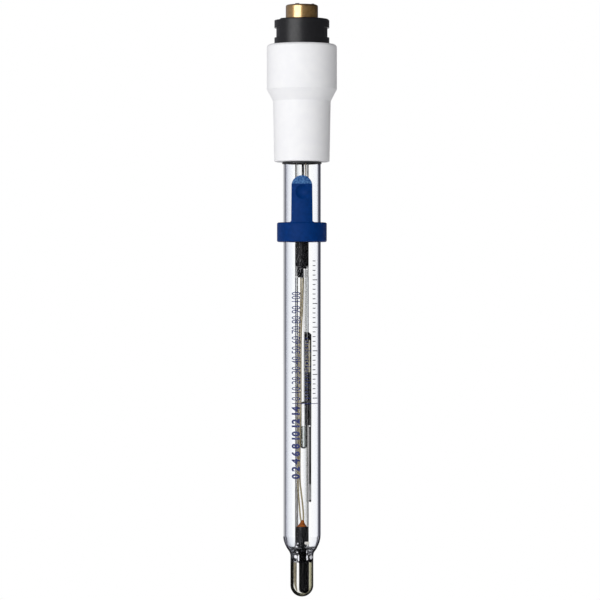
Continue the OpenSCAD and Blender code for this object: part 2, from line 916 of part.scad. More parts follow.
// Round end of the tab, seen from the front
module tab_outline() {
  r = tab_top_w / 2;
  blend_z = tab_blend;
  union() {
    polygon([
      [-tab_foot_w / 2, -over], [tab_foot_w / 2, -over],
      [r, tab_h - r], [-r, tab_h - r]
    ]);
    translate([0, tab_h - r])
      circle(r = r);
    for (side = [0, 1])
      mirror([side, 0])
        translate([tab_foot_w / 2 - 0.05, 0])
          difference() {
            translate([0, -over])
              square([blend_z, blend_z + over]);
            translate([blend_z, blend_z])
              circle(r = blend_z);
          }
  }
}

// Section of the tab, from the shaft outwards, with its thumb lip
module tab_section() {
  polygon([
    [slide_bore_r, -ring_edge], [tab_r, -ring_edge],
    [tab_r, lip_z - 0.6 - lip_rise], [tab_r + lip_out, lip_z - 0.6],
    [tab_r + lip_out, lip_z], [slide_bore_r + tab_top_t, tab_h], [slide_bore_r, tab_h]
  ]);
}

// Round thumb hollow, which leaves the lip's edge standing
module thumb_hollow() {
  inward = hollow_r - hollow_depth - lip_out;
  half_h = sqrt(hollow_r * hollow_r - inward * inward);
  translate([0, -(tab_r - hollow_depth + hollow_r), tab_z + lip_z - hollow_edge - half_h])
    sphere(r = hollow_r);
}

// One-piece slide: a ring that runs on the shaft and a tab that covers the filling port
module filling_slide() {
  color([0.03, 0.14, 0.4])
    union() {
      translate([0, 0, ring_z])
        rotate_extrude()
          difference() {
            translate([slide_bore_r, 0])
              square([ring_od / 2 - slide_bore_r, ring_h]);
            translate([ring_od / 2 - ring_edge, ring_h - ring_edge])
              edge_cut(ring_edge);
            translate([ring_od / 2 - ring_edge, ring_edge])
              mirror([0, 1])
                edge_cut(ring_edge);
          }
      difference() {
        intersection() {
          translate([0, 0, tab_z])
            rotate_extrude()
              tab_section();
          translate([0, -slide_bore_r / 2, tab_z])
            rotate([90, 0, 0])
              linear_extrude(ring_od)
                tab_outline();
        }
        thumb_hollow();
      }
    }
}

shaft_tube();
stem_tube();
glass_membrane();
ceramic_junction();
sensor_sheath();
sensor_plug();
sensor_resin();
sensor_lead_left();
sensor_lead_right();
measuring_wire();
silver_element();
inner_capsule();
capsule_fill();
stem_plug();
reference_cartridge();
cartridge_fill();
cartridge_wool();
cartridge_stopper();
reference_rod();
rod_pin();
reference_wire();
head_lead_dark();
head_lead_pale();
shaft_seal();
head_cap();
cap_potting();
locking_collar();
collar_oring();
contact_sleeve();
pin_insulator();
contact_pins();
filling_slide();
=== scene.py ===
"""Looks of a combination pH electrode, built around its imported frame.

The electrode has a clear glass shaft with a round sensing tip, a dark blue filling slide,
a white head cap, a black locking collar and a brass contact sleeve. Each sub-assembly is a
class that builds its own meshes and dresses the frame's nodes, and each finish is a frozen
dataclass that makes one material. All lengths are in metres, and MM turns millimetres to metres.
"""

import logging
import math
from dataclasses import dataclass, field
from enum import Enum
from typing import Any, Callable

import bpy
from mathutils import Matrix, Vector


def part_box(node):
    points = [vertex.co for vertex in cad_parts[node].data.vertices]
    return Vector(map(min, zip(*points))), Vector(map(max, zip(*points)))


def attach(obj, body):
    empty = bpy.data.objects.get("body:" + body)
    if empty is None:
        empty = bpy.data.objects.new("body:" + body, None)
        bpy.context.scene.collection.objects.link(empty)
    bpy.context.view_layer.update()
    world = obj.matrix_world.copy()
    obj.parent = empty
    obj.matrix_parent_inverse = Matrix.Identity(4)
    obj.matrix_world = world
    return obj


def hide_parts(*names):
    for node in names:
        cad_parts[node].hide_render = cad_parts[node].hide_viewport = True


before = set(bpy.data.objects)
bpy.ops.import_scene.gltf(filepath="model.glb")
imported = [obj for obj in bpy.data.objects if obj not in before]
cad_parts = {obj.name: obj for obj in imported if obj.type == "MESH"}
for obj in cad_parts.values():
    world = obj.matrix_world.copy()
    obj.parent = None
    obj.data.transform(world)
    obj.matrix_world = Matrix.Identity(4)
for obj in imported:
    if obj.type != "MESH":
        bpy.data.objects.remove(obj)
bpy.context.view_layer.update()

MM = 0.001
LOG = logging.getLogger("electrode")

WHITE = "#FFFFFF"
# Faces that meet at a sharper angle than this, in degrees, are shaded with a crease
CREASE = 35
STRAND_CREASE = 50

Profile = list[tuple[float, float]]
Stops = tuple[tuple[float, str], ...]
Link = bpy.types.NodeSocket


class Body(Enum):
    """The two bodies that a piece can ride on."""

    ELECTRODE = "electrode"
    SLIDE = "slide"


class Ink(Enum):
    """The print's inks, each with the record's slot that is nearest to it."""

    BLUE = ("blue_ink", "blue_plastic")
    GREY = ("grey_ink", "plug_rubber")

    def __init__(self, material: str, slot: str) -> None:
        """Names the ink's material and slot.

        Args:
            material: Name of its material.
            slot: Its slot in the record.
        """
        self.material = material
        self.slot = slot


class Ray(Enum):
    """Kinds of ray that glass and studio tell apart, by their names in the light path."""

    CAMERA = "Is Camera Ray"
    DIFFUSE = "Is Diffuse Ray"
    GLOSSY = "Is Glossy Ray"
    SHADOW = "Is Shadow Ray"
    TRANSMISSION = "Is Transmission Ray"


def linear(hex_colour: str) -> tuple[float, float, float, float]:
    """Turns an sRGB hex colour to linear light.

    Args:
        hex_colour: Six hex digits after a hash, such as "#0D2F6B".

    Returns:
        Red, green, blue and an alpha of 1.
    """
    channels = [int(hex_colour[i : i + 2], 16) / 255 for i in (1, 3, 5)]
    red, green, blue = (c / 12.92 if c <= 0.04045 else ((c + 0.055) / 1.055) ** 2.4 for c in channels)
    return red, green, blue, 1.0


def add(
    tree: bpy.types.NodeTree, kind: str, settings: dict[str, Any] | None = None, **inputs: Any
) -> bpy.types.Node:
    """Adds one shader node with its settings, values and links.

    Args:
        tree: The node tree that gets the node.
        kind: The node's type, without the leading ShaderNode.
        settings: Properties of the node itself, by name. A colour ramp has stops: places
            from 0 to 1 with their hex colours.
        **inputs: Values, sockets or nodes for the inputs, where a node stands for its first
            output. A name is an input's name with underscores for spaces, or an input's
            number after an underscore.

    Returns:
        The new node.
    """
    node = tree.nodes.new("ShaderNode" + kind)
    for name, value in (settings or {}).items():
        if name != "stops":
            setattr(node, name, value)
            continue
        elements = node.color_ramp.elements
        while len(elements) < len(value):
            elements.new(0.5)
        for element, (position, colour) in zip(elements, value):
            element.position = position
            element.color = linear(colour)
    for name, value in inputs.items():
        socket = node.inputs[int(name[1:])] if name[1:].isdigit() else node.inputs[name.replace("_", " ")]
        if isinstance(value, bpy.types.Node):
            value = value.outputs[0]
        if isinstance(value, bpy.types.NodeSocket):
            tree.links.new(value, socket)
        else:
            socket.default_value = value
    return node


def new_material(name: str) -> tuple[bpy.types.Material, bpy.types.NodeTree]:
    """Makes a material without nodes.

    Args:
        name: The material's name.

    Returns:
        The material and its node tree.
    """
    material = bpy.data.materials.new(name)
    material.use_nodes = True
    material.node_tree.nodes.clear()
    return material, material.node_tree


def noise(
    tree: bpy.types.NodeTree, grain: float, detail: float = 3.0, stretch: float = 1.0, warp: float = 0.0
) -> Link:
    """Adds a noise pattern in the piece's own space.

    Args:
        tree: The node tree.
        grain: Size of the pattern's patches, in metres.
        detail: Octaves of finer pattern.
        stretch: How many times longer the patches are along the shaft.
        warp: How much the pattern swirls.

    Returns:
        The noise's factor, about 0.5 on average.
    """
    where = add(tree, "TexCoord").outputs["Object"]
    mapped = add(tree, "Mapping", Vector=where, Scale=(1.0, 1.0, 1.0 / stretch))
    pattern = add(tree, "TexNoise", Vector=mapped, Scale=1.0 / grain, Detail=detail, Distortion=warp)
    return pattern.outputs["Fac"]


def coordinate(tree: bpy.types.NodeTree, axis: str, space: str = "Object") -> Link:
    """Reads one coordinate of the place that is shaded.

    Args:
        tree: The node tree.
        axis: X, Y or Z.
        space: Name of the texture coordinates that it is read from.

    Returns:
        The coordinate.
    """
    return add(tree, "SeparateXYZ", Vector=add(tree, "TexCoord").outputs[space]).outputs[axis]


def unbent(tree: bpy.types.NodeTree) -> Link:
    """Marks the rays that cross a glass unbent: those of lamps, of diffuse light and of reflections.

    Args:
        tree: The node tree.

    Returns:
        1 for such a ray and 0 for any other.
    """
    rays = add(tree, "LightPath").outputs
    lit = add(
        tree, "Math", {"operation": "MAXIMUM"}, _0=rays[Ray.SHADOW.value], _1=rays[Ray.DIFFUSE.value]
    )
    # A reflected ray is glossy alone, and a bent one is glossy and transmitted
    reflected = add(
        tree, "Math", {"operation": "SUBTRACT", "use_clamp": True},
        _0=rays[Ray.GLOSSY.value], _1=rays[Ray.TRANSMISSION.value],
    )
    return add(tree, "Math", {"operation": "MAXIMUM"}, _0=lit, _1=reflected).outputs[0]


@dataclass(frozen=True)
class DrawnGlass:
    """Clear drawn glass: bends what lies behind it, and painted shade darkens it where it is seen edge on.

    The stops give the glass's colour with its painted shade, from seen face on, 0, to seen edge
    on, 1, on the side to the left of the axis and on the side to the right of it.
    """

    name: str
    left: Stops
    # Painted shade of the side to the right of the axis; empty where both sides are alike
    right: Stops = ()
    gloss: float = 0.05
    # Lower than glass's own where liquid inside and outside would let it bend light less
    ior: float = 1.47
    shadow_tint: str = "#FCFCFE"
    # From this share of facing on, only the wall is seen, and light goes straight through it
    wall_from: float = 1.0
    # From this share of mirrored light on, the same holds
    mirror_from: float = 0.97
    # Whether the sides are told apart by place, which also holds for the far wall
    by_place: bool = False
    # How far from the middle the sides blend, in the normal's X or as a place
    normal_blend: float = 0.25
    place_blend: float = 1.5 * MM
    # Painted shade and painted highlights in swirls where the glass flowed, the size of their
    # pattern, and the height that they fade out to
    marks: Stops = ()
    grain: float = 1.0 * MM
    marks_top: float = 1.0
    marks_fade: float = 1.2 * MM
    # Painted highlights: bright spots of the front, each by its place across and up and its half
    # width and height, in mm
    painted_glints: tuple[tuple[float, float, float, float], ...] = ()
    # Size and strength of the pattern that makes the spots uneven, and where their edge fades
    glint_grain: float = 0.35 * MM
    glint_uneven: float = 1.4
    glint_edge: tuple[float, float] = (1.75, 1.45)

    def colour(self, tree: bpy.types.NodeTree, facing: Link) -> Link:
        """Mixes the painted shade of both sides, with the painted swirls of the melted glass over them.

        Args:
            tree: The node tree.
            facing: From 0, seen face on, to 1, seen edge on.

        Returns:
            The glass's colour.
        """
        # Painted shade: the sides left and right of the axis take tints of their own
        source, blend = ("Object", self.place_blend) if self.by_place else ("Normal", self.normal_blend)
        side = add(
            tree, "MapRange", Value=coordinate(tree, "X", source), From_Min=-blend, From_Max=blend
        )
        left = add(tree, "ValToRGB", {"stops": self.left}, Fac=facing)
        right = add(tree, "ValToRGB", {"stops": self.right or self.left}, Fac=facing)
        tint = add(tree, "Mix", {"data_type": "RGBA"}, _0=side, _6=left, _7=right).outputs[2]
        if not self.marks:
            return tint
        # Painted shade and painted highlights: dark and white swirls multiplied over the colour, fading out
        # above marks_top
        swirls = noise(tree, self.grain, detail=2.0, warp=2.0)
        painted_swirls = add(tree, "ValToRGB", {"stops": self.marks}, Fac=swirls)
        share = add(
            tree, "MapRange", Value=coordinate(tree, "Z"),
            From_Min=self.marks_top, From_Max=self.marks_top - self.marks_fade,
        )
        return add(
            tree, "Mix", {"data_type": "RGBA", "blend_type": "MULTIPLY"}, _0=share, _6=tint, _7=painted_swirls
        ).outputs[2]

    def spots(self, tree: bpy.types.NodeTree) -> Link:
        """Adds a mask that is 1 in the painted highlights' bright spots, with uneven edges.

        Args:
            tree: The node tree.

        Returns:
            The mask.
        """
        where = add(tree, "TexCoord").outputs["Object"]
        uneven = noise(tree, self.glint_grain, detail=2.0)
        outer, inner = self.glint_edge
        mask: float | bpy.types.Node = 0.0
        for x, z, half_x, half_z in self.painted_glints:
            local = add(
                tree, "Mapping", Vector=where, Location=(-x / half_x, 0.0, -z / half_z),
                Scale=(1 / (half_x * MM), 0.0, 1 / (half_z * MM)),
            )
            reach = add(tree, "VectorMath", {"operation": "LENGTH"}, _0=local).outputs["Value"]
            edge = add(
                tree, "Math", {"operation": "MULTIPLY_ADD"}, _0=uneven, _1=self.glint_uneven, _2=reach
            )
            spot = add(tree, "MapRange", Value=edge, From_Min=outer, From_Max=inner)
            mask = add(tree, "Math", {"operation": "MAXIMUM"}, _0=mask, _1=spot)
        front = add(tree, "Math", {"operation": "LESS_THAN"}, _0=coordinate(tree, "Y"), _1=0.0)
        return add(tree, "Math", {"operation": "MULTIPLY"}, _0=mask, _1=front).outputs[0]

    def build(self) -> bpy.types.Material:
        """Makes the glass, which lets the lamps through to what is inside.

        Returns:
            The material.
        """
        material, tree = new_material(self.name)
        facing = add(tree, "LayerWeight", Blend=0.5).outputs["Facing"]
        colour = self.colour(tree, facing)
        mirror = add(tree, "Fresnel", IOR=self.ior)
        # Where the glass would only mirror, its wall is seen as a plain tint
        total = add(tree, "Math", {"operation": "GREATER_THAN"}, _0=mirror, _1=self.mirror_from)
        wall = add(tree, "Math", {"operation": "GREATER_THAN"}, _0=facing, _1=self.wall_from)
        straight = add(tree, "Math", {"operation": "MAXIMUM"}, _0=total, _1=wall)
        bent = add(tree, "BsdfRefraction", Color=colour, IOR=self.ior, Roughness=0.0)
        tinted = add(tree, "BsdfTransparent", Color=colour)
        seen = add(tree, "MixShader", _0=straight, _1=bent, _2=tinted)
        shine = add(tree, "BsdfGlossy", Color=linear(WHITE), Roughness=0.02)
        share = add(tree, "Math", {"operation": "MULTIPLY"}, _0=mirror, _1=self.gloss)
        glass = add(tree, "MixShader", _0=share, _1=seen, _2=shine)
        # Painted highlights: a white diffuse shader in the spots stands in for the lamps' reflections
        if self.painted_glints:
            bright = add(tree, "BsdfDiffuse", Color=linear("#F4F4FA"))
            glass = add(tree, "MixShader", _0=self.spots(tree), _1=glass, _2=bright)
        clear = add(tree, "BsdfTransparent", Color=linear(self.shadow_tint))
        mix = add(tree, "MixShader", _0=unbent(tree), _1=glass, _2=clear)
        add(tree, "OutputMaterial", Surface=mix)
        return material


@dataclass(frozen=True)
class ThinGlass:
    """Thin glass or clear gel of the small inner tubes: clear in the middle, painted shade grey at its
    edges.
    """

    name: str
    tint: str
    # Painted shade that its edges turn to
    edge: str
    # Painted shade: tint of the side to the right of its axis
    right: str
    # Axis, radius and lowest height of a fine bore, whose wall stays clear
    bore: tuple[float, float, float] | None = None
    # Shares of facing between which it turns from its tint to the painted shade of its edge
    tint_to: float = 0.22
    edge_from: float = 0.36
    # How far to the right of the middle the sides blend, in the normal's X
    side_blend: float = 0.3
    gloss: float = 0.12

    def in_bore(self, tree: bpy.types.NodeTree) -> Link:
        """Marks the wall of the fine bore.

        Args:
            tree: The node tree.

        Returns:
            1 on the bore's wall and 0 elsewhere.
        """
        axis_x, radius, low_z = self.bore
        off_x = add(tree, "Math", {"operation": "SUBTRACT"}, _0=coordinate(tree, "X"), _1=axis_x)
        off = add(tree, "CombineXYZ", X=off_x, Y=coordinate(tree, "Y"))
        reach = add(tree, "VectorMath", {"operation": "LENGTH"}, _0=off).outputs["Value"]
        near = add(tree, "Math", {"operation": "LESS_THAN"}, _0=reach, _1=radius)
        above = add(tree, "Math", {"operation": "GREATER_THAN"}, _0=coordinate(tree, "Z"), _1=low_z)
        return add(tree, "Math", {"operation": "MULTIPLY"}, _0=near, _1=above).outputs[0]

    def build(self) -> bpy.types.Material:
        """Makes a clear film with a faint gloss, and painted shade at its edges and on its right side.

        Returns:
            The material.
        """
        material, tree = new_material(self.name)
        facing = add(tree, "LayerWeight", Blend=0.5).outputs["Facing"]
        # Painted shade: each half greys towards its edge, and the right half has a tint of its own
        across = coordinate(tree, "X", "Normal")
        side = add(tree, "MapRange", Value=across, From_Min=0.0, From_Max=self.side_blend)
        halves = [
            add(
                tree, "ValToRGB",
                {"stops": ((0.0, tint), (self.tint_to, tint), (self.edge_from, self.edge))}, Fac=facing,
            )
            for tint in (self.tint, self.right)
        ]
        colour = add(tree, "Mix", {"data_type": "RGBA"}, _0=side, _6=halves[0], _7=halves[1]).outputs[2]
        clear_at = [self.in_bore(tree)] if self.bore else []
        # Lamps shine through it undimmed
        clear_at.append(add(tree, "LightPath").outputs[Ray.SHADOW.value])
        for mask in clear_at:
            colour = add(tree, "Mix", {"data_type": "RGBA"}, _0=mask, _6=colour, _7=linear(WHITE)).outputs[2]
        clear = add(tree, "BsdfTransparent", Color=colour)
        shine = add(tree, "BsdfGlossy", Color=linear(WHITE), Roughness=0.05)
        share = add(tree, "Math", {"operation": "MULTIPLY"}, _0=facing, _1=self.gloss)
        mix = add(tree, "MixShader", _0=share, _1=clear, _2=shine)
        add(tree, "OutputMaterial", Surface=mix)
        return material


@dataclass(frozen=True)
class Moulded:
    """Moulded plastic, rubber or resin: two close tones in soft patches, and a fine skin."""

    name: str
    colour: str
    shade: str
    roughness: float
    # Size of the patches, and how far the skin stands out
    grain: float
    bump: float = 0.0
    # Lower than the material's own where the real surface shines less
    ior: float = 1.46
    stretch: float = 1.0
    coat: float = 0.0
    # How much the roughness wanders from patch to patch
    uneven: float = 0.05
    # How many times finer than the patches the skin and the facet are
    skin_finer: float = 4.0
    facet_finer: float = 3.0
    # Colour, darker tone and lower edge of a coarse facet, paler by a painted highlight where it faces up
    facet: tuple[str, str, float] | None = None
    facet_blend: float = 0.15 * MM

    def build(self) -> bpy.types.Material:
        """Makes the material from a colour patchwork, a roughness patchwork and a bump.

        Returns:
            The material.
        """
        material, tree = new_material(self.name)
        patches = noise(tree, self.grain, detail=4.0, stretch=self.stretch)
        colour = add(
            tree, "ValToRGB", {"stops": ((0.35, self.shade), (0.65, self.colour))}, Fac=patches
        ).outputs[0]
        # Painted highlight: above its lower edge the facet takes a paler speckled colour, as if lit from
        # above
        if self.facet:
            pale, dark, edge_z = self.facet
            above = add(
                tree, "MapRange", Value=coordinate(tree, "Z"),
                From_Min=edge_z, From_Max=edge_z + self.facet_blend,
            )
            speckle = noise(tree, self.grain / self.facet_finer, detail=2.0)
            coarse = add(tree, "ValToRGB", {"stops": ((0.4, dark), (0.6, pale))}, Fac=speckle)
            colour = add(tree, "Mix", {"data_type": "RGBA"}, _0=above, _6=colour, _7=coarse).outputs[2]
        rough = add(
            tree, "MapRange", Value=patches, From_Min=0.3, From_Max=0.7,
            To_Min=self.roughness + self.uneven, To_Max=self.roughness - self.uneven,
        )
        shader = add(
            tree, "BsdfPrincipled", Base_Color=colour, Roughness=rough, IOR=self.ior,
            Coat_Weight=self.coat, Coat_Roughness=0.15,
        )
        if self.bump:
            skin = noise(tree, self.grain / self.skin_finer, detail=2.0, stretch=self.stretch)
            bump = add(tree, "Bump", Height=skin, Distance=self.bump, Strength=0.6)
            tree.links.new(bump.outputs[0], shader.inputs["Normal"])
        add(tree, "OutputMaterial", Surface=shader)
        return material


@dataclass(frozen=True)
class TurnedMetal:
    """Turned metal with fine rings left by the tool round its axis."""

    name: str
    colour: str
    shade: str
    roughness: float
    # The rings are 2 pi times this far apart, coarser than real ones so that they show
    ring: float
    # Strength of the glossy skin of a plating, and its IOR, which is high enough to glint
    coat: float = 0.0
    coat_ior: float = 2.2
    ring_depth: float = 0.0015 * MM
    # Size of the patches of its two tones, and how much the rings roughen it
    patch: float = 1.5 * MM
    uneven: float = 0.05

    def build(self) -> bpy.types.Material:
        """Makes the metal, with rings along Z in its roughness and bump.

        Returns:
            The material.
        """
        material, tree = new_material(self.name)
        # A wave's phase grows by 20 times its scale over a metre
        rings = add(
            tree, "TexWave", {"wave_type": "BANDS", "bands_direction": "Z"}, Distortion=1.5, Detail=2.0,
            Vector=add(tree, "TexCoord").outputs["Object"], Scale=1.0 / self.ring / 20,
        ).outputs["Fac"]
        colour = add(
            tree, "ValToRGB", {"stops": ((0.3, self.shade), (0.7, self.colour))}, Fac=noise(tree, self.patch)
        )
        rough = add(
            tree, "MapRange", Value=rings, To_Min=self.roughness, To_Max=self.roughness + self.uneven
        )
        bump = add(tree, "Bump", Height=rings, Distance=self.ring_depth, Strength=0.5)
        shader = add(
            tree, "BsdfPrincipled", Base_Color=colour, Metallic=1.0, Roughness=rough, Normal=bump,
            Coat_Weight=self.coat, Coat_Roughness=0.2, Coat_IOR=self.coat_ior,
        )
        add(tree, "OutputMaterial", Surface=shader)
        return material


@dataclass(frozen=True)
class Banded:
    """Upright rod with bands of different coatings, each given by its lower end and colour."""

    name: str
    bands: Stops
    roughness: float
    top_band: float = 1.0 * MM
    # Share of the rod over which one band blends into the next
    blend: float = 0.008
    grain: float = 0.4 * MM

    def build(self) -> bpy.types.Material:
        """Makes the bands by height, each slightly uneven.

        Returns:
            The material.
        """
        material, tree = new_material(self.name)
        low, high = self.bands[0][0], self.bands[-1][0] + self.top_band
        share = add(tree, "MapRange", Value=coordinate(tree, "Z"), From_Min=low, From_Max=high)
        stops: list[tuple[float, str]] = []
        for (start, colour), (end, _) in zip(self.bands, self.bands[1:] + ((high, ""),)):
            stops.append(((start - low) / (high - low), colour))
            stops.append(((end - low) / (high - low) - self.blend, colour))
        bands = add(tree, "ValToRGB", {"stops": stops}, Fac=share)
        uneven = add(
            tree, "ValToRGB", {"stops": ((0.35, "#C8C8C8"), (0.65, WHITE))},
            Fac=noise(tree, self.grain, stretch=3.0),
        )
        colour = add(
            tree, "Mix", {"data_type": "RGBA", "blend_type": "MULTIPLY"}, _0=1.0, _6=bands, _7=uneven
        ).outputs[2]
        shader = add(tree, "BsdfPrincipled", Base_Color=colour, Roughness=self.roughness, IOR=1.3)
        add(tree, "OutputMaterial", Surface=shader)
        return material


Finish = DrawnGlass | ThinGlass | Moulded | TurnedMetal | Banded

# Painted shade of borosilicate glass left and right of the axis, from seen face on to where its edge begins
PAINTED_FACE_LEFT: Stops = (
    (0.0, "#FFFFFF"), (0.118, "#FBFDFF"), (0.155, "#F6F8FB"), (0.2, "#F2F3F7"), (0.247, "#EEF0F4"),
    (0.297, "#E6E8ED"), (0.355, "#D8D9DE"), (0.424, "#C2C3CA"), (0.508, "#ADAEB4"),
)
PAINTED_FACE_RIGHT: Stops = (
    (0.0, "#FFFFFF"), (0.2, "#FCFDFE"), (0.368, "#F9FAFD"), (0.405, "#F7F8FA"), (0.439, "#E3E4E8"),
)


def glass_finishes() -> dict[str, Finish]:
    """Lists the finishes of the glass.

    Returns:
        The finishes by the record's slots, or by names of their own for parts of a piece.
    """
    return {
        # Borosilicate glass tube, drawn: clear, with painted shade grey along its left edge and dark along
        # its right
        "shaft_glass": DrawnGlass(
            "borosilicate_glass",
            PAINTED_FACE_LEFT + ((0.56, "#B3B4B9"), (0.617, "#CDCDD0"), (0.7, "#E2E2E4"), (0.785, "#EDEDEE"),
                         (0.95, "#F6F6F6")),
            PAINTED_FACE_RIGHT + ((0.527, "#9B9CA5"), (0.643, "#7B7D88"), (0.75, "#85868F"), (0.9, "#ADAEB5")),
            by_place=True, wall_from=0.447,
        ),
        # Its bore: clear, because what shows of the wall is on its outside
        "shaft_bore": DrawnGlass(
            "borosilicate_glass_bore", ((0.0, "#FFFFFF"), (0.5, "#FEFEFF"), (0.95, "#F4F4F8")),
        ),
        # The same glass where it was melted in the flame: painted shade at its dark edges, painted shade
        # and painted highlights in swirls where it flowed, and painted highlights in bright spots
        "ring_glass": DrawnGlass(
            "borosilicate_glass_fused",
            PAINTED_FACE_LEFT + ((0.6, "#A8A8B0"), (0.72, "#70707A"), (0.9, "#101014")),
            PAINTED_FACE_RIGHT + ((0.6, "#92929B"), (0.72, "#30303A"), (0.9, "#101014")),
            by_place=True, wall_from=0.55,
            marks=(
                (0.33, "#050506"), (0.41, "#0C0C10"), (0.44, "#E8E8EC"), (0.49, "#FFFFFF"),
                (0.52, "#40404A"), (0.55, "#08080A"), (0.61, "#14141A"), (0.64, "#F0F0F4"),
                (0.70, "#FFFFFF"),
            ),
            grain=1.1 * MM, marks_top=16.6 * MM,
            painted_glints=(
                (-1.27, 17.3, 0.2, 0.28), (-1.7, 16.2, 0.33, 0.3), (-2.0, 12.9, 0.5, 0.6),
                (-1.08, 12.5, 0.26, 1.1), (1.65, 12.6, 0.3, 0.95), (2.93, 12.65, 0.55, 0.62),
                (-1.5, 14.4, 0.28, 0.22), (1.56, 14.5, 0.14, 0.4),
            ),
        ),
        # Its bore where melted: painted shade at its dark edges
        "ring_bore": DrawnGlass(
            "borosilicate_glass_fused_bore",
            ((0.0, "#FFFFFF"), (0.6, "#F4F4F6"), (0.75, "#44444C"), (0.9, "#1A1A20")),
        ),
        # The same glass, thinner, for the stem, with painted shade grey at its edges and greyer on its right
        "stem_glass": DrawnGlass(
            "borosilicate_glass_stem",
            ((0.0, "#FDFDFD"), (0.2, "#F4F5F5"), (0.36, "#D8D8D8"), (0.40, "#BBBBBB"), (0.9, "#A4A4A6")),
            ((0.0, "#FFFFFF"), (0.05, "#F4F6F8"), (0.15, "#E2E4E6"), (0.26, "#CECECE"), (0.385, "#B8B7B6"),
             (0.395, "#BEBDBC"), (0.5, "#B4B3B2"), (0.74, "#9C9A98"), (0.9, "#9C9A98")),
            ior=1.25, wall_from=0.391,
        ),
        # The same stem above the capsule, where only its edges show, by painted shade that is darker on the
        # right
        "stem_upper": DrawnGlass(
            "borosilicate_glass_stem_upper",
            ((0.0, "#FFFFFF"), (0.36, "#FCFEFE"), (0.42, "#E8ECEA"), (0.9, "#D8DCDC")),
            ((0.0, "#FFFFFF"), (0.40, "#FCFEFE"), (0.46, "#98989E"), (0.6, "#60606A"), (0.9, "#9494A0")),
            ior=1.25, wall_from=0.391,
        ),
        # The same stem round its rubber plugs, which fill it and show to its edges, with painted shade
        # greyer at its edges and on its right
        "stem_grip": DrawnGlass(
            "borosilicate_glass_stem_plugged",
            ((0.0, "#FDFDFD"), (0.5, "#F4F5F5"), (0.8, "#A4A4A6")),
            ((0.0, "#FDFDFD"), (0.5, "#E8E8E8"), (0.8, "#8A8886")),
            ior=1.25,
        ),
        "stem_bore": DrawnGlass(
            "borosilicate_glass_stem_bore", ((0.0, "#FFFFFF"), (0.5, "#FCFCFC"), (0.95, "#F0F0F0")),
            ior=1.25,
        ),
        # Lithium pH glass, blown: painted shade, black along its left edge and faintly olive along its right
        "membrane_glass": DrawnGlass(
            "ph_glass",
            ((0.0, "#FFFFFF"), (0.27, "#F4F3EC"), (0.33, "#1E1E1C"), (0.9, "#0A0A0A")),
            ((0.0, "#FFFFFF"), (0.14, "#FFFFFF"), (0.22, "#C8C5B0"), (0.30, "#A09D88"), (0.44, "#A6A38E"),
             (0.455, "#C2C1B5"), (0.66, "#B5B3A0"), (0.8, "#8E8C78"), (0.95, "#2A2A22")),
            wall_from=0.451,
        ),
        "membrane_bore": DrawnGlass(
            "ph_glass_bore", ((0.0, "#FFFFFF"), (0.5, "#FEFEFC"), (0.95, "#E8E6DC")),
        ),
        # Thin borosilicate glass, worked at the lamp: it shows by the painted shade of its grey left edge
        # alone
        "small_glass": ThinGlass(
            "lamp_worked_glass", tint="#FFFFFF", edge="#64676A", right="#FCFCFC",
            bore=(1.1 * MM, 0.4 * MM, 62.2 * MM),
        ),
        # Clear gel that fills the capsule's end, with painted shade grey on its right side and at its edges
        "capsule_gel": ThinGlass("clear_gel", tint="#F4F8F9", edge="#6A6D68", right="#8A8A84"),
    }


def inner_finishes() -> dict[str, Finish]:
    """Lists the finishes of the pieces inside the glass.

    Returns:
        The finishes by the record's slots.
    """
    return {
        # Porous alumina, fired: white and dry
        "junction_ceramic": Moulded(
            "porous_alumina", "#F2F0EA", "#DDD9CF", roughness=0.8, grain=0.15 * MM, bump=0.02 * MM,
        ),
        # Black sleeve shrunk over the sensor: dark satin
        "sheath_black": Moulded(
            "black_sleeve", "#060607", "#010102", roughness=0.4, grain=0.8 * MM, bump=0.004 * MM,
            ior=1.15,
        ),
        # Black rubber, moulded and wet: dark and smooth
        "plug_rubber": Moulded(
            "black_rubber", "#131315", "#09090A", roughness=0.45, grain=0.6 * MM, bump=0.01 * MM,
            ior=1.3,
        ),
        # Amber epoxy, cast: shiny, drawn up the wires
        "amber_resin": Moulded(
            "amber_epoxy", "#B06018", "#7A3C0C", roughness=0.2, grain=0.5 * MM, bump=0.02 * MM, coat=0.5,
        ),
        # Copper wire, enamelled: olive and smooth, streaked along its length
        "lead_insulation": Moulded(
            "enamelled_wire", "#A89B78", "#857A55", roughness=0.35, grain=0.4 * MM, stretch=4.0,
        ),
        # Silver wire, coated: dark grey, with its gleam left
        "coated_silver": TurnedMetal("coated_silver", "#8C8A88", "#5E5C5C", roughness=0.35, ring=0.2 * MM),
        # Silver chloride, melted on: taupe and dull
        "silver_chloride": Moulded(
            "silver_chloride", "#988F78", "#7E7662", roughness=0.5, grain=0.3 * MM, bump=0.01 * MM,
        ),
        # Coated silver grains, poured: black specks
        "reference_fill": Moulded(
            "black_grains", "#202024", "#08080A", roughness=0.6, grain=0.12 * MM, bump=0.03 * MM,
        ),
        # Glass wool, packed: cream and matt
        "wool": Moulded(
            "glass_wool", "#FBF6E4", "#E4DAB8", roughness=0.9, grain=0.25 * MM, bump=0.05 * MM,
            stretch=3.0,
        ),
        # Thin rod, dipped: pale ceramic over a dark end, then black and dark grey coating
        "rod_dark": Banded(
            "coated_rod",
            bands=(
                (30.0 * MM, "#2A2A2C"), (30.8 * MM, "#A8A8A6"), (35.7 * MM, "#050506"),
                (42.8 * MM, "#3C3C3E"),
            ),
            roughness=0.45,
        ),
        # PVC, extruded over the wire: black satin
        "black_insulation": Moulded("black_pvc", "#1A1A16", "#0C0C0A", roughness=0.4, grain=0.5 * MM),
        # PTFE, extruded over the wire: pale and waxy
        "pale_insulation": Moulded("pale_ptfe", "#CFC0A8", "#B8A88E", roughness=0.4, grain=0.5 * MM),
    }


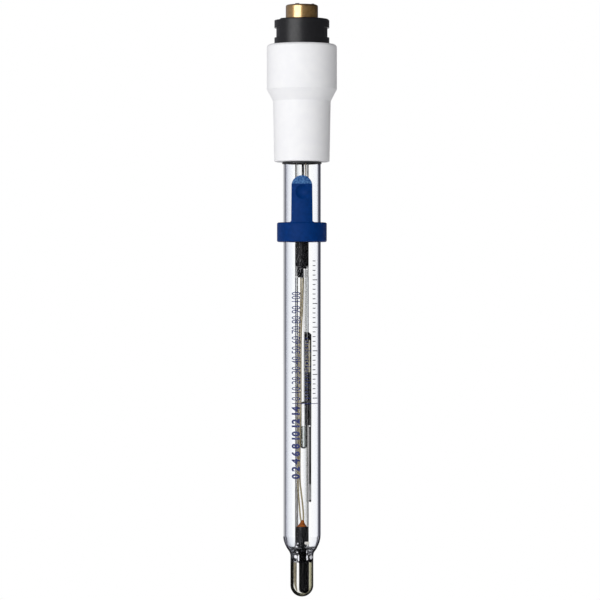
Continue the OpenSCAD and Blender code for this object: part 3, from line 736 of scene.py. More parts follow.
def head_finishes() -> dict[str, Finish]:
    """Lists the finishes of the cap, the contact head, the slide and the print.

    Returns:
        The finishes by the record's slots, and the inks by their own names.
    """
    return {
        # Silicone rubber, moulded: black and smooth
        "seal_rubber": Moulded(
            "black_silicone", "#1A1A1C", "#0E0E10", roughness=0.45, grain=0.6 * MM, bump=0.01 * MM,
        ),
        # Polypropylene, moulded: white satin
        "white_plastic": Moulded(
            "white_polypropylene", "#F1F1F2", "#EEEEF0", roughness=0.5, grain=3.0 * MM, bump=0.006 * MM,
            ior=1.35,
        ),
        # Epoxy, cast: straw yellow and smooth
        "potting_resin": Moulded("cast_epoxy", "#C8B27A", "#A89058", roughness=0.3, grain=1.0 * MM),
        # Glass-filled nylon, moulded: black, with a mottled satin skin
        "black_plastic": Moulded(
            "black_nylon", "#121216", "#08080C", roughness=0.34, grain=0.7 * MM, bump=0.05 * MM,
        ),
        # Brass, turned and gold plated: warm, with fine rings
        "brass": TurnedMetal(
            "gold_plated_brass", "#D2A860", "#BE9048", roughness=0.28, ring=0.12 * MM, coat=1.0,
        ),
        # Phenolic plastic, moulded: dark brown and dull
        "insulator_plastic": Moulded(
            "brown_phenolic", "#3A2A1E", "#241A12", roughness=0.45, grain=0.6 * MM, bump=0.01 * MM,
        ),
        # The same plating on the smaller pins: brighter
        "pin_gold": TurnedMetal("gold_plated_pins", "#E2C070", "#C8A050", roughness=0.18, ring=0.1 * MM),
        # Polypropylene, moulded: dark blue satin, coarser on the facet at the tab's top, and paler
        # there by a painted highlight
        "blue_plastic": Moulded(
            "blue_polypropylene", "#003070", "#002B65", roughness=0.5, grain=1.2 * MM, bump=0.02 * MM,
            ior=1.16, facet=("#5480B4", "#1E4680", 131.15 * MM),
        ),
        # Ink, printed through a screen: matt, with a slightly uneven film
        "blue_ink": Moulded("blue_ink", "#14256A", "#0C1A50", roughness=0.55, grain=0.4 * MM),
        "grey_ink": Moulded("grey_ink", "#4C4C58", "#3C3C48", roughness=0.55, grain=0.4 * MM),
    }


def finishes() -> dict[str, bpy.types.Material]:
    """Makes every material.

    Returns:
        The materials by the names that the lists of finishes give.
    """
    listed = glass_finishes() | inner_finishes() | head_finishes()
    return {name: finish.build() for name, finish in listed.items()}


def dress(materials: dict[str, bpy.types.Material], slots: dict[str, str], finish: str = "") -> None:
    """Gives frame nodes their materials, chosen by their slots.

    Args:
        materials: All materials by name.
        slots: The record's slot for each node.
        finish: Name of their material, where it isn't their slot's.
    """
    for name, slot in slots.items():
        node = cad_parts[name]
        node.data.materials.clear()
        node.data.materials.append(materials[finish or slot])
        LOG.info("dressed %s with %s", name, finish or slot)


def place(piece: bpy.types.Object, body: Body, slot: str, *replaced: str) -> None:
    """Puts a new piece on its body.

    Args:
        piece: The piece, already in its place.
        body: The body that it rides on.
        slot: The record's material slot; not used.
        *replaced: Frame nodes that it stands for.
    """
    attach(piece, body.value)
    if replaced:
        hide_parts(*replaced)
    LOG.info("placed %s on %s", piece.name, body.value)


def new_object(name: str, data: bpy.types.ID) -> bpy.types.Object:
    """Links a new object to the scene.

    Args:
        name: The object's name.
        data: Its mesh, text, camera or light.

    Returns:
        The object.
    """
    piece = bpy.data.objects.new(name, data)
    bpy.context.scene.collection.objects.link(piece)
    return piece


def smooth(mesh: bpy.types.Mesh, crease: float) -> None:
    """Shades a mesh smooth up to its creases.

    Args:
        mesh: The mesh.
        crease: Angle between faces, in degrees, from which their edge is a crease.
    """
    for polygon in mesh.polygons:
        polygon.use_smooth = True
    mesh.update()
    mesh.set_sharp_from_angle(angle=math.radians(crease))


def arc(centre: tuple[float, float], radius: float, start: float, end: float, steps: int) -> Profile:
    """Points along an arc of a section.

    Args:
        centre: The arc's centre, as distance from the axis and height.
        radius: Its radius.
        start: First angle in degrees, from outwards to upwards.
        end: Last angle in degrees.
        steps: Number of chords.

    Returns:
        The points, both ends included.
    """
    angles = [math.radians(start + (end - start) * i / steps) for i in range(steps + 1)]
    return [(centre[0] + radius * math.cos(a), centre[1] + radius * math.sin(a)) for a in angles]


@dataclass
class Turned:
    """A surface of revolution with one material for each of its stretches."""

    name: str
    segments: int = 160
    stretches: list[tuple[Profile, bpy.types.Material]] = field(default_factory=list)
    # How far a place moves outwards and upwards, by its distance from the axis, height and angle
    ripple: Callable[[float, float, float], tuple[float, float]] | None = None
    # What lies nearer to the axis than this is on it
    on_axis: float = 1e-4 * MM

    def build(self) -> bpy.types.Object:
        """Turns the stretches about Z, joined end to end.

        Returns:
            The object.
        """
        points: Profile = []
        # The material of the face between each point and the one before, or None at a gap
        slots: list[int | None] = []
        for index, (profile, _) in enumerate(self.stretches):
            joined = bool(points) and points[-1] == profile[0]
            own = profile[1:] if joined else profile
            slots += [index if joined else None] + [index] * (len(own) - 1)
            points += own
        verts: list[tuple[float, float, float]] = []
        rows: list[list[int]] = []
        for r, z in points:
            if r < self.on_axis:
                rows.append([len(verts)] * self.segments)
                verts.append((0.0, 0.0, z))
                continue
            rows.append(list(range(len(verts), len(verts) + self.segments)))
            for k in range(self.segments):
                a = 2 * math.pi * k / self.segments
                out, up = self.ripple(r, z, a) if self.ripple else (0.0, 0.0)
                verts.append(((r + out) * math.cos(a), (r + out) * math.sin(a), z + up))
        faces: list[tuple[int, ...]] = []
        face_slots: list[int] = []
        for i in range(len(points) - 1):
            if slots[i + 1] is None:
                continue
            for k in range(self.segments):
                n = (k + 1) % self.segments
                corner = [rows[i][k], rows[i + 1][k], rows[i + 1][n], rows[i][n]]
                faces.append(tuple(dict.fromkeys(corner)))
                face_slots.append(slots[i + 1])
        mesh = bpy.data.meshes.new(self.name)
        mesh.from_pydata(verts, [], faces)
        for _, material in self.stretches:
            mesh.materials.append(material)
        for polygon, slot in zip(mesh.polygons, face_slots):
            polygon.material_index = slot
        smooth(mesh, CREASE)
        return new_object(self.name, mesh)


@dataclass
class Strand:
    """A round wire or rod along a smooth path, with flat ends."""

    name: str
    # Points in millimetres, each with the strand's radius there
    points: list[tuple[float, float, float, float]]
    material: bpy.types.Material
    sides: int = 20
    steps: int = 10

    def path(self) -> list[Vector]:
        """Smooths the points into a path.

        Returns:
            Places with the strand's radius as their fourth number, in metres.
        """
        knots = [Vector(p) * MM for p in self.points]
        knots = [2 * knots[0] - knots[1], *knots, 2 * knots[-1] - knots[-2]]
        places: list[Vector] = []
        for a, b, c, d in zip(knots, knots[1:], knots[2:], knots[3:]):
            slope = c - a
            bend = 2 * a - 5 * b + 4 * c - d
            swing = 3 * b - a - 3 * c + d
            for i in range(self.steps):
                t = i / self.steps
                places.append(0.5 * (2 * b + slope * t + bend * t**2 + swing * t**3))
        return [*places, knots[-2]]

    def build(self) -> bpy.types.Object:
        """Sweeps the strand along its path.

        Returns:
            The object.
        """
        path = self.path()
        verts: list[Vector] = []
        faces: list[tuple[int, ...]] = []
        for i, middle in enumerate(path):
            along = (path[min(i + 1, len(path) - 1)] - path[max(i - 1, 0)]).to_3d().normalized()
            across = along.cross(Vector((0.0, 1.0, 0.0))).normalized()
            depth = along.cross(across)
            for k in range(self.sides):
                angle = 2 * math.pi * k / self.sides
                ring = across * math.cos(angle) + depth * math.sin(angle)
                verts.append(middle.to_3d() + ring * middle.w)
        for i in range(len(path) - 1):
            for k in range(self.sides):
                n = (k + 1) % self.sides
                a, b = i * self.sides, (i + 1) * self.sides
                faces.append((a + k, b + k, b + n, a + n))
        faces.append(tuple(range(self.sides)))
        faces.append(tuple(range(len(verts) - 1, len(verts) - 1 - self.sides, -1)))
        mesh = bpy.data.meshes.new(self.name)
        mesh.from_pydata(verts, [], faces)
        mesh.materials.append(self.material)
        smooth(mesh, STRAND_CREASE)
        return new_object(self.name, mesh)


@dataclass
class GlassBody:
    """The fused glass: shaft, stem and membrane, which meet in a ring seal."""

    materials: dict[str, bpy.types.Material]
    # Walls of the shaft, of the blown ring at its foot, of the stem and of the membrane
    wall: float = 1.0 * MM
    ring_wall: float = 0.6 * MM
    stem_wall: float = 0.45 * MM
    membrane_wall: float = 0.6 * MM
    # Radii of the S-shaped shoulder's convex top and concave foot
    shoulder_top_r: float = 9.0 * MM
    shoulder_foot_r: float = 2.75 * MM
    # The straight shaft has a row of faces up to this height above the shoulder
    first_row: float = 20.0 * MM
    # The fused ring between shaft and stem fills up to this height above the seal
    ring_rise: float = 3.7 * MM
    # Clearance of the ring's round bottom from the stem
    ring_gap: float = 0.08 * MM
    # The glass melted in the flame, with its painted shade, swirls and highlights, reaches this height above
    # the seal
    fused_rise: float = 6.2 * MM
    # How unevenly the ring of melted glass is blown
    wave: float = 0.26 * MM
    # How far its seat in the membrane hangs down at the front
    sag: float = 1.5 * MM
    # How much wider than the stem its foot is in the frame, radius of the foot's curve, and how far
    # that reaches under the seal
    foot_flare: float = 0.475 * MM
    flare_r: float = 1.4 * MM
    flare_drop: float = 1.2 * MM
    # Height where the stem stands clear of the capsule's body
    capsule_top: float = 82.0 * MM
    # The stem's glass melted in the flame, with its painted shade, reaches this height above the ring
    stem_fused: float = 1.2 * MM
    # The rubber plugs wet the bore, so there its surface lies a little inside theirs
    grip: float = 0.03 * MM
    plug_taper_h: float = 2.9 * MM
    plug_step_h: float = 3.6 * MM
    # Height of the membrane's melted neck, radius of its seat, and height of the rows of faces above
    # its ball and under its seat
    neck_h: float = 1.6 * MM
    seat_r: float = 0.9 * MM
    ball_row: float = 4.0 * MM
    seat_row: float = 1.0 * MM
    # Diameter and height of the filling port
    port_d: float = 3.0 * MM
    port_z: float = 125.0 * MM
    # Length of the tool that cuts it, and how far behind the glass's front the tool starts
    port_cut: float = 5.0 * MM
    port_start: float = 2.5 * MM

    def __post_init__(self) -> None:
        """Reads the glass's places from the frame."""
        shaft_low, shaft_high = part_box("shaft_tube")
        _, membrane_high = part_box("glass_membrane")
        stem_low, stem_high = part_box("stem_tube")
        self.shaft_r = -shaft_low.y
        self.shaft_top = shaft_high.z
        self.seal_z = shaft_low.z
        self.membrane_r = membrane_high.y
        self.stem_top = stem_high.z
        self.stem_r = stem_high.y - self.foot_flare
        self.stem_bore_r = self.stem_r - self.stem_wall
        self.membrane_bore_r = self.membrane_r - self.membrane_wall
        self.turn = math.acos(
            1 - (self.shaft_r - self.membrane_r) / (self.shoulder_top_r + self.shoulder_foot_r)
        )
        # The shoulder's two arcs meet where both have turned this far
        join_z = self.seal_z + self.shoulder_foot_r * math.sin(self.turn)
        self.top_z = join_z + self.shoulder_top_r * math.sin(self.turn)

    def ripple(self, r: float, z: float, angle: float) -> tuple[float, float]:
        """Unevenness of the blown ring seal.

        Args:
            r: Distance from the axis.
            z: Height.
            angle: Angle about the axis.

        Returns:
            How far the surface moves outwards and upwards there.
        """
        above = (z - self.seal_z) / MM
        # Strongest 1.6 mm above the seal, gone 4 mm from there, and weaker on the outside
        near = math.exp(-(((above - 1.6) / 1.9) ** 2))
        inside = 1.0 if r < self.membrane_r - 0.2 * MM else 0.22
        waves = math.sin(3 * angle + 1.1 * above) + 0.8 * math.sin(5 * angle - 2.3 * above + 1.0)
        waves += 0.6 * math.sin(9 * angle + 3.1 * above + 2.0)
        # The melted seat hangs lower at the front
        front = ((1 - math.sin(angle)) / 2) ** 3
        low = math.exp(-(((above + 0.4) / 0.8) ** 2)) if r < self.membrane_r - 0.5 * MM else 0.0
        return self.wave * near * inside * waves / 2.2, -self.sag * front * low

    def outer_section(self) -> Profile:
        """Draws the outside of the shaft.

        Returns:
            The section from the shaft's top down to the seal.
        """
        degrees = math.degrees(self.turn)
        heights = (
            self.shaft_top, self.port_z + self.port_d, self.port_z - self.port_d,
            self.top_z + self.first_row,
        )
        straight = [(self.shaft_r, z) for z in heights]
        top_centre = (self.shaft_r - self.shoulder_top_r, self.top_z)
        foot_centre = (self.membrane_r + self.shoulder_foot_r, self.seal_z)
        top = arc(top_centre, self.shoulder_top_r, 0, -degrees, steps=24)
        foot = arc(foot_centre, self.shoulder_foot_r, 180 - degrees, 180, steps=12)
        return straight + top + foot[1:]

    def inner_section(self) -> Profile:
        """Draws the inside of the shaft.

        Returns:
            The section from the rounded bottom of the ring up to the shaft's top.
        """
        centre = (self.shaft_r - self.shoulder_top_r, self.top_z)
        ring_z = self.seal_z + self.ring_rise
        ring_r = self.shoulder_top_r - self.ring_wall
        low = math.asin((self.top_z - ring_z) / ring_r)
        steps = 24
        rise: Profile = []
        # The wall thickens from the blown ring up to the tube's own
        for i in range(steps + 1):
            angle = -low * (1 - i / steps)
            r = ring_r - (self.wall - self.ring_wall) * i / steps
            rise.append((centre[0] + r * math.cos(angle), centre[1] + r * math.sin(angle)))
        bowl_out = rise[0][0]
        bowl_in = self.stem_r + self.ring_gap
        bowl = arc(((bowl_out + bowl_in) / 2, ring_z), (bowl_out - bowl_in) / 2, -180, 0, steps=14)
        heights = (
            self.top_z + self.first_row, self.port_z - self.port_d, self.port_z + self.port_d,
            self.shaft_top,
        )
        return bowl[:-1] + rise + [(self.shaft_r - self.wall, z) for z in heights]

    def flare(self) -> Profile:
        """Draws the flared inside of the stem's foot.

        Returns:
            The section from the stem's bore down to the seat in the membrane.
        """
        centre = (self.stem_bore_r + self.flare_r, self.seal_z - self.flare_drop + self.flare_r)
        return arc(centre, self.flare_r, 180, 262, steps=12)

    def build(self) -> None:
        """Builds the three glasses, open where they are fused into each other."""
        self.build_shaft()
        self.build_stem()
        self.build_membrane()

    def build_shaft(self) -> None:
        """Builds the shaft, with the mark of the flame at its foot and the port in its front."""
        clear, bore = self.materials["shaft_glass"], self.materials["shaft_bore"]
        fused, fused_bore = self.materials["ring_glass"], self.materials["ring_bore"]
        inner, outer = self.inner_section(), self.outer_section()
        fused_z = self.seal_z + self.fused_rise
        inner_cut = next(i for i, (r, z) in enumerate(inner) if z > fused_z and r > self.membrane_r)
        outer_cut = next(i for i, point in enumerate(outer) if point[1] < fused_z)
        shaft = Turned("shaft_glass", segments=192, ripple=self.ripple)
        shaft.stretches = [
            (inner[: inner_cut + 1], fused_bore),
            (inner[inner_cut:], bore),
            # The shaft's rim closes the tube at its top, inside the cap
            ([inner[-1], outer[0]], clear),
            (outer[: outer_cut + 1], clear),
            (outer[outer_cut:], fused),
        ]
        piece = shaft.build()
        self.cut_port(piece)
        place(piece, Body.ELECTRODE, "shaft_glass", "shaft_tube")

    def stem_bore(self) -> Profile:
        """Draws the stem's bore, which narrows a little where a plug wets it.

        Returns:
            The section from the flare's top up to the stem's.
        """
        bore = [self.flare()[0]]
        grip_r = self.stem_bore_r - self.grip
        for plug, taper_h in (("sensor_plug", self.plug_taper_h), ("stem_plug", self.plug_step_h)):
            low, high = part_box(plug)
            for near_z, step in ((low.z + taper_h, self.grip), (high.z, -self.grip)):
                # The rings beside the step keep its slant out of the long faces
                rings = [
                    (self.stem_bore_r, near_z - 2 * step), (self.stem_bore_r, near_z - step),
                    (grip_r, near_z), (grip_r, near_z + step),
                ]
                bore += rings if step > 0 else rings[::-1]
        return bore + [(self.stem_bore_r, self.stem_top)]

    def build_stem(self) -> None:
        """Builds the stem, whose glass looks different round its plugs and above the capsule."""
        clear, grip = self.materials["stem_glass"], self.materials["stem_grip"]
        fused_bore = self.materials["ring_bore"]
        crotch = self.inner_section()[0]
        upper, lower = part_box("stem_plug"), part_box("sensor_plug")
        heights = (
            self.stem_top, upper[1].z, upper[0].z, self.capsule_top, lower[1].z, crotch[1] + self.stem_fused,
        )
        outside = [(self.stem_r, z) for z in heights] + [crotch]
        inside = self.stem_bore()
        stem = Turned("stem_glass", segments=128, ripple=self.ripple)
        stem.stretches = [
            (self.flare()[::-1], fused_bore),
            (inside, self.materials["stem_bore"]),
            ([inside[-1], outside[0]], clear),
            (outside[:2], clear),
            (outside[1:3], grip),
            (outside[2:4], self.materials["stem_upper"]),
            (outside[3:5], clear),
            (outside[4:-1], grip),
            (outside[-2:], fused_bore),
        ]
        place(stem.build(), Body.ELECTRODE, "stem_glass", "stem_tube")

    def build_membrane(self) -> None:
        """Builds the membrane: a melted neck over a straight wall and a ball."""
        # The ball's radius is also the height of its middle, because its tip is at zero
        ball_z = self.membrane_r
        seat_end = self.flare()[-1]
        neck = [(self.membrane_r, self.seal_z), (self.membrane_r, self.seal_z - self.neck_h)]
        wall_out = [neck[-1], (self.membrane_r, ball_z + self.ball_row)]
        ball_out = arc((0.0, ball_z), self.membrane_r, 0, -90, steps=40)
        ball_in = arc((0.0, ball_z), self.membrane_bore_r, -90, 0, steps=40)
        seat_centre = (self.membrane_bore_r - self.seat_r, seat_end[1] - self.seat_r)
        seat = arc(seat_centre, self.seat_r, 0, 80, steps=8)
        wall_in = [
            (self.membrane_bore_r, ball_z + self.ball_row),
            (self.membrane_bore_r, seat[0][1] - self.seat_row), seat[0],
        ]
        membrane = Turned("membrane_glass", segments=128, ripple=self.ripple)
        membrane.stretches = [
            (neck, self.materials["ring_glass"]),
            (wall_out + ball_out, self.materials["membrane_glass"]),
            (ball_in + wall_in, self.materials["membrane_bore"]),
            (seat + [seat_end], self.materials["ring_bore"]),
        ]
        place(membrane.build(), Body.ELECTRODE, "membrane_glass", "glass_membrane")

    def cut_port(self, shaft: bpy.types.Object) -> None:
        """Cuts the filling port through the front wall.

        Args:
            shaft: The shaft's glass.
        """
        cutter = Turned("port_cutter", segments=64)
        half = self.port_d / 2
        outline = [(0.0, 0.0), (half, 0.0), (half, self.port_cut), (0.0, self.port_cut)]
        cutter.stretches = [(outline, self.materials["shaft_bore"])]
        tool = cutter.build()
        tool.rotation_euler = (math.pi / 2, 0.0, 0.0)
        tool.location = (0.0, -self.shaft_r + self.port_start, self.port_z)
        bpy.context.view_layer.update()
        cut = shaft.modifiers.new("port", "BOOLEAN")
        cut.operation = "DIFFERENCE"
        cut.solver = "EXACT"
        cut.object = tool
        evaluated = shaft.evaluated_get(bpy.context.evaluated_depsgraph_get())
        mesh = bpy.data.meshes.new_from_object(evaluated)
        mesh.set_sharp_from_angle(angle=math.radians(CREASE))
        shaft.modifiers.clear()
        shaft.data = mesh
        bpy.data.objects.remove(tool)


@dataclass
class InnerParts:
    """What shows inside the glass: the sensor, the silver element and the two references."""

    materials: dict[str, bpy.types.Material]
    # Radius of a lead, in mm like the places of its route
    lead_r: float = 0.26
    # How far the resin's cone leans to the right at its tip
    lean: float = 0.2 * MM

    def build(self) -> None:
        """Dresses the frame's inner nodes and shapes the ones that have smooth outlines."""
        dress(self.materials, {
            "ceramic_junction": "junction_ceramic",
            "sensor_plug": "plug_rubber",
            "measuring_wire": "coated_silver",
            "capsule_fill": "capsule_gel",
            "stem_plug": "plug_rubber",
            "cartridge_fill": "reference_fill",
            "cartridge_wool": "wool",
            "cartridge_stopper": "plug_rubber",
            "reference_rod": "rod_dark",
            "rod_pin": "rod_dark",
            "reference_wire": "coated_silver",
            "head_lead_dark": "black_insulation",
            "head_lead_pale": "pale_insulation",
        })
        tubes = {"inner_capsule": "stem_glass", "reference_cartridge": "stem_glass"}
        dress(self.materials, tubes, "small_glass")
        self.leads()
        self.sheath()
        self.element()
        self.resin()

    def leads(self) -> None:
        """Bends the sensor's two leads round the capsule and into the resin."""
        paths = {
            "sensor_lead_left": [
                (-0.32, 0.1, 101.6), (-0.32, 0.05, 97.0), (-0.42, -0.1, 91.0), (-0.86, -0.4, 81.7),
                (-0.95, -0.5, 62.6), (-1.15, -0.55, 49.8), (-1.2, -0.55, 38.0), (-1.12, -0.5, 33.9),
                (-0.92, -0.4, 30.7), (-0.66, -0.25, 27.5), (-0.4, -0.1, 25.0), (-0.1, 0.0, 23.4),
            ],
            "sensor_lead_right": [
                (0.34, -0.42, 101.6), (0.25, -0.5, 97.0), (0.12, -0.8, 91.0), (-0.29, -1.1, 81.7),
                (-0.35, -1.15, 62.6), (-0.6, -1.1, 49.8), (-0.62, -1.0, 38.0), (-0.3, -0.8, 33.9),
                (0.08, -0.6, 30.7), (0.38, -0.35, 27.5), (0.48, -0.15, 25.3), (0.45, 0.0, 23.4),
            ],
        }
        for name, points in paths.items():
            route = [(*point, self.lead_r) for point in points]
            lead = Strand(name + "_wire", route, self.materials["lead_insulation"])
            place(lead.build(), Body.ELECTRODE, "lead_insulation", name)

    def sheath(self) -> None:
        """Draws the sensor's sheath from the plug down to its blunt end."""
        points = [
            (0.0, 0.0, 14.8, 1.1), (0.25, 0.0, 13.4, 1.25), (0.62, 0.0, 12.2, 1.55),
            (0.68, 0.0, 10.5, 1.6), (0.68, 0.0, 6.0, 1.6), (0.68, 0.0, 2.8, 1.6), (0.68, 0.0, 2.0, 1.55),
            (0.64, 0.0, 1.5, 1.4), (0.6, 0.0, 1.25, 1.15), (0.58, 0.0, 1.15, 0.8),
        ]
        sheath = Strand("sensor_sheath_sleeve", points, self.materials["sheath_black"], sides=48)
        place(sheath.build(), Body.ELECTRODE, "sheath_black", "sensor_sheath")

    def element(self) -> None:
        """Draws the silver chloride element to its point, which follows the membrane's ball."""
        points = [
            (-2.14, 0.0, 11.2, 0.5), (-2.14, 0.0, 8.0, 0.5), (-2.14, 0.0, 5.6, 0.48),
            (-2.08, 0.0, 4.2, 0.42), (-1.95, 0.0, 3.2, 0.34), (-1.76, 0.0, 2.4, 0.25),
            (-1.55, 0.0, 1.8, 0.14),
        ]
        element = Strand("silver_element_rod", points, self.materials["silver_chloride"])
        place(element.build(), Body.ELECTRODE, "silver_chloride", "silver_element")

    def resin(self) -> None:
        """Shapes the resin on the plug, drawn up the leads."""
        low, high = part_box("sensor_resin")
        cone = Turned("sensor_resin_cone", segments=64)
        section = [
            (0.0, 0.0), (1.68, 0.0), (1.62, 0.12), (1.3, 0.42), (0.98, 0.8), (0.74, 1.2), (0.58, 1.6),
            (0.48, 1.95), (0.34, 2.1), (0.0, 2.15),
        ]
        cone.stretches = [([(r * MM, low.z + h * MM) for r, h in section], self.materials["amber_resin"])]
        piece = cone.build()
        for vertex in piece.data.vertices:
            vertex.co.x += self.lean * max(0.0, vertex.co.z - low.z) / (high.z - low.z)
        place(piece, Body.ELECTRODE, "amber_resin", "sensor_resin")


@dataclass
class Head:
    """The white cap, the black collar, the brass contact head and the blue slide."""

    materials: dict[str, bpy.types.Material]

    def build(self) -> None:
        """Dresses the frame's head nodes."""
        dress(self.materials, {
            "shaft_seal": "seal_rubber",
            "head_cap": "white_plastic",
            "cap_potting": "potting_resin",
            "locking_collar": "black_plastic",
            "collar_oring": "seal_rubber",
            "contact_sleeve": "brass",
            "pin_insulator": "insulator_plastic",
            "contact_pins": "pin_gold",
            "filling_slide": "blue_plastic",
        })


@dataclass(frozen=True)
class Row:
    """A row of plain numbers that runs up the shaft."""

    name: str
    words: str
    # Height of the figures, across the shaft, and length of the row, along it
    height: float
    length: float
    # Place of the figures' foot, to the right of the axis, and height at which the row starts
    x: float
    z: float
    # How much bolder than the plain face, as a share of the height
    weight: float = 0.0


@dataclass(frozen=True)
class Scale:
    """A scale of tick marks that runs up the shaft, each fifth of them longer."""

    name: str
    ink: Ink
    count: int
    # Height of the lowest mark, distance between marks and their thickness
    low: float
    step: float
    thickness: float
    # Left end of the marks, and right end of a plain and of a longer one
    left: float
    right: float
    long_right: float


@dataclass
class Print:
    """Generic print on the shaft: plain numbers and graduation marks, read from below."""

    materials: dict[str, bpy.types.Material]
    # Thickness of the ink, and the gap that keeps the figures' backs off the glass
    film: float = 0.012 * MM
    lift: float = 0.001 * MM
    # Width of the facets that a bar is bent in
    facet: float = 0.3 * MM
    numbers: tuple[Row, ...] = (
        Row("print_bold_numbers", "0 2 4 6 8 10 12 14", height=2.9 * MM, length=23.0 * MM,
            x=-0.6 * MM, z=37.7 * MM, weight=0.045),
        Row("print_light_numbers", "0 10 20 30 40 50 60 70 80 90 100", height=3.0 * MM, length=34.4 * MM,
            x=-0.42 * MM, z=62.6 * MM),
    )
    # Left and right edge and lower and upper edge of the line
    rule: tuple[float, float, float, float] = (-3.06 * MM, 5.03 * MM, 61.5 * MM, 61.7 * MM)
    scales: tuple[Scale, ...] = (
        Scale("print_fine_scale", Ink.BLUE, count=20, low=63.2 * MM, step=1.0 * MM,
              thickness=0.22 * MM, left=1.0 * MM, right=2.0 * MM, long_right=2.9 * MM),
        Scale("print_side_scale", Ink.GREY, count=30, low=63.2 * MM, step=1.5 * MM,
              thickness=0.25 * MM, left=3.4 * MM, right=4.3 * MM, long_right=4.9 * MM),
    )

    def __post_init__(self) -> None:
        """Reads the shaft's radius from the frame."""
        self.shaft_r = -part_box("shaft_tube")[0].y

    def wrap(self, piece: bpy.types.Object, x: float, z: float) -> None:
        """Bends a flat mesh round the shaft's front.

        Args:
            piece: A flat mesh whose own X runs up the shaft and whose own Y runs to the left.
            x: Place of the mesh's own Y of zero, to the right of the axis.
            z: Height of its own X of zero.
        """
        start = math.asin(x / self.shaft_r)
        for vertex in piece.data.vertices:
            along, across, up = vertex.co
            angle = start - across / self.shaft_r
            r = self.shaft_r + self.lift + max(0.0, up)
            vertex.co = Vector((r * math.sin(angle), -r * math.cos(angle), z + along))
        piece.data.update()

    def write(self, row: Row, ink: Ink) -> None:
        """Prints a row of plain numbers.

        Args:
            row: The row.
            ink: Its ink.
        """
        curve = bpy.data.curves.new(row.name, "FONT")
        curve.body = row.words
        curve.size = 1.0
        curve.offset = row.weight
        curve.resolution_u = 3
        text = new_object(row.name + "_flat", curve)
        bpy.context.view_layer.update()
        mesh = bpy.data.meshes.new_from_object(text.evaluated_get(bpy.context.evaluated_depsgraph_get()))
        bpy.data.objects.remove(text)
        low = [min(v.co[i] for v in mesh.vertices) for i in (0, 1)]
        high = [max(v.co[i] for v in mesh.vertices) for i in (0, 1)]
        for vertex in mesh.vertices:
            vertex.co.x = (vertex.co.x - low[0]) / (high[0] - low[0]) * row.length
            vertex.co.y = (vertex.co.y - low[1]) / (high[1] - low[1]) * row.height
            vertex.co.z = self.film
        mesh.materials.append(self.materials[ink.material])
        piece = new_object(row.name, mesh)
        self.wrap(piece, row.x, row.z)
        place(piece, Body.ELECTRODE, ink.slot)

    def bars(self, name: str, places: list[tuple[float, float, float, float]], ink: Ink) -> None:
        """Prints bars, each given by its place and size on the shaft.

        Args:
            name: The piece's name.
            places: For each bar its left and right edge and its lower and upper edge.
            ink: Its ink.
        """
        verts: list[tuple[float, float, float]] = []
        faces: list[tuple[int, ...]] = []
        for left, right, low, high in places:
            start = len(verts)
            steps = max(1, round((right - left) / self.facet))
            for i in range(steps + 1):
                angle = math.asin((left + (right - left) * i / steps) / self.shaft_r)
                r = self.shaft_r + self.film
                verts += [(r * math.sin(angle), -r * math.cos(angle), h) for h in (low, high)]
            for i in range(steps):
                a = start + 2 * i
                faces.append((a, a + 2, a + 3, a + 1))
        mesh = bpy.data.meshes.new(name)
        mesh.from_pydata(verts, [], faces)
        mesh.materials.append(self.materials[ink.material])
        place(new_object(name, mesh), Body.ELECTRODE, ink.slot)

    def build(self) -> None:
        """Prints the numbers, the line and the scales."""
        for row in self.numbers:
            self.write(row, Ink.BLUE)
        self.bars("print_rule", [self.rule], Ink.BLUE)
        for scale in self.scales:
            marks: list[tuple[float, float, float, float]] = []
            for i in range(scale.count):
                low = scale.low + scale.step * i
                right = scale.long_right if i % 5 == 0 else scale.right
                marks.append((scale.left, right, low, low + scale.thickness))
            self.bars(scale.name, marks, scale.ink)


@dataclass(frozen=True)
class Lamp:
    """A soft lamp that faces the middle of the electrode."""

    name: str
    # Where it stands: degrees from the front towards the right, distance from the axis and height
    azimuth: float
    away: float
    height: float
    # Its width and height
    size: tuple[float, float]
    # How bright it renders a white surface that faces it, where 1 is white
    level: float
    # Whether it shows in reflections
    shines: bool = False

    def build(self, middle: Vector) -> None:
        """Adds the lamp.

        Args:
            middle: The place that it faces.
        """
        data = bpy.data.lights.new(self.name, "AREA")
        data.shape = "RECTANGLE"
        data.size, data.size_y = self.size
        data.energy = self.level * math.pi**2 * self.away**2
        lamp = new_object(self.name, data)
        turn = math.radians(self.azimuth)
        lamp.location = (self.away * math.sin(turn), -self.away * math.cos(turn), self.height)
        lamp.rotation_euler = (middle - lamp.location).to_track_quat("-Z", "Y").to_euler()
        lamp.visible_glossy = self.shines
        lamp.visible_transmission = False


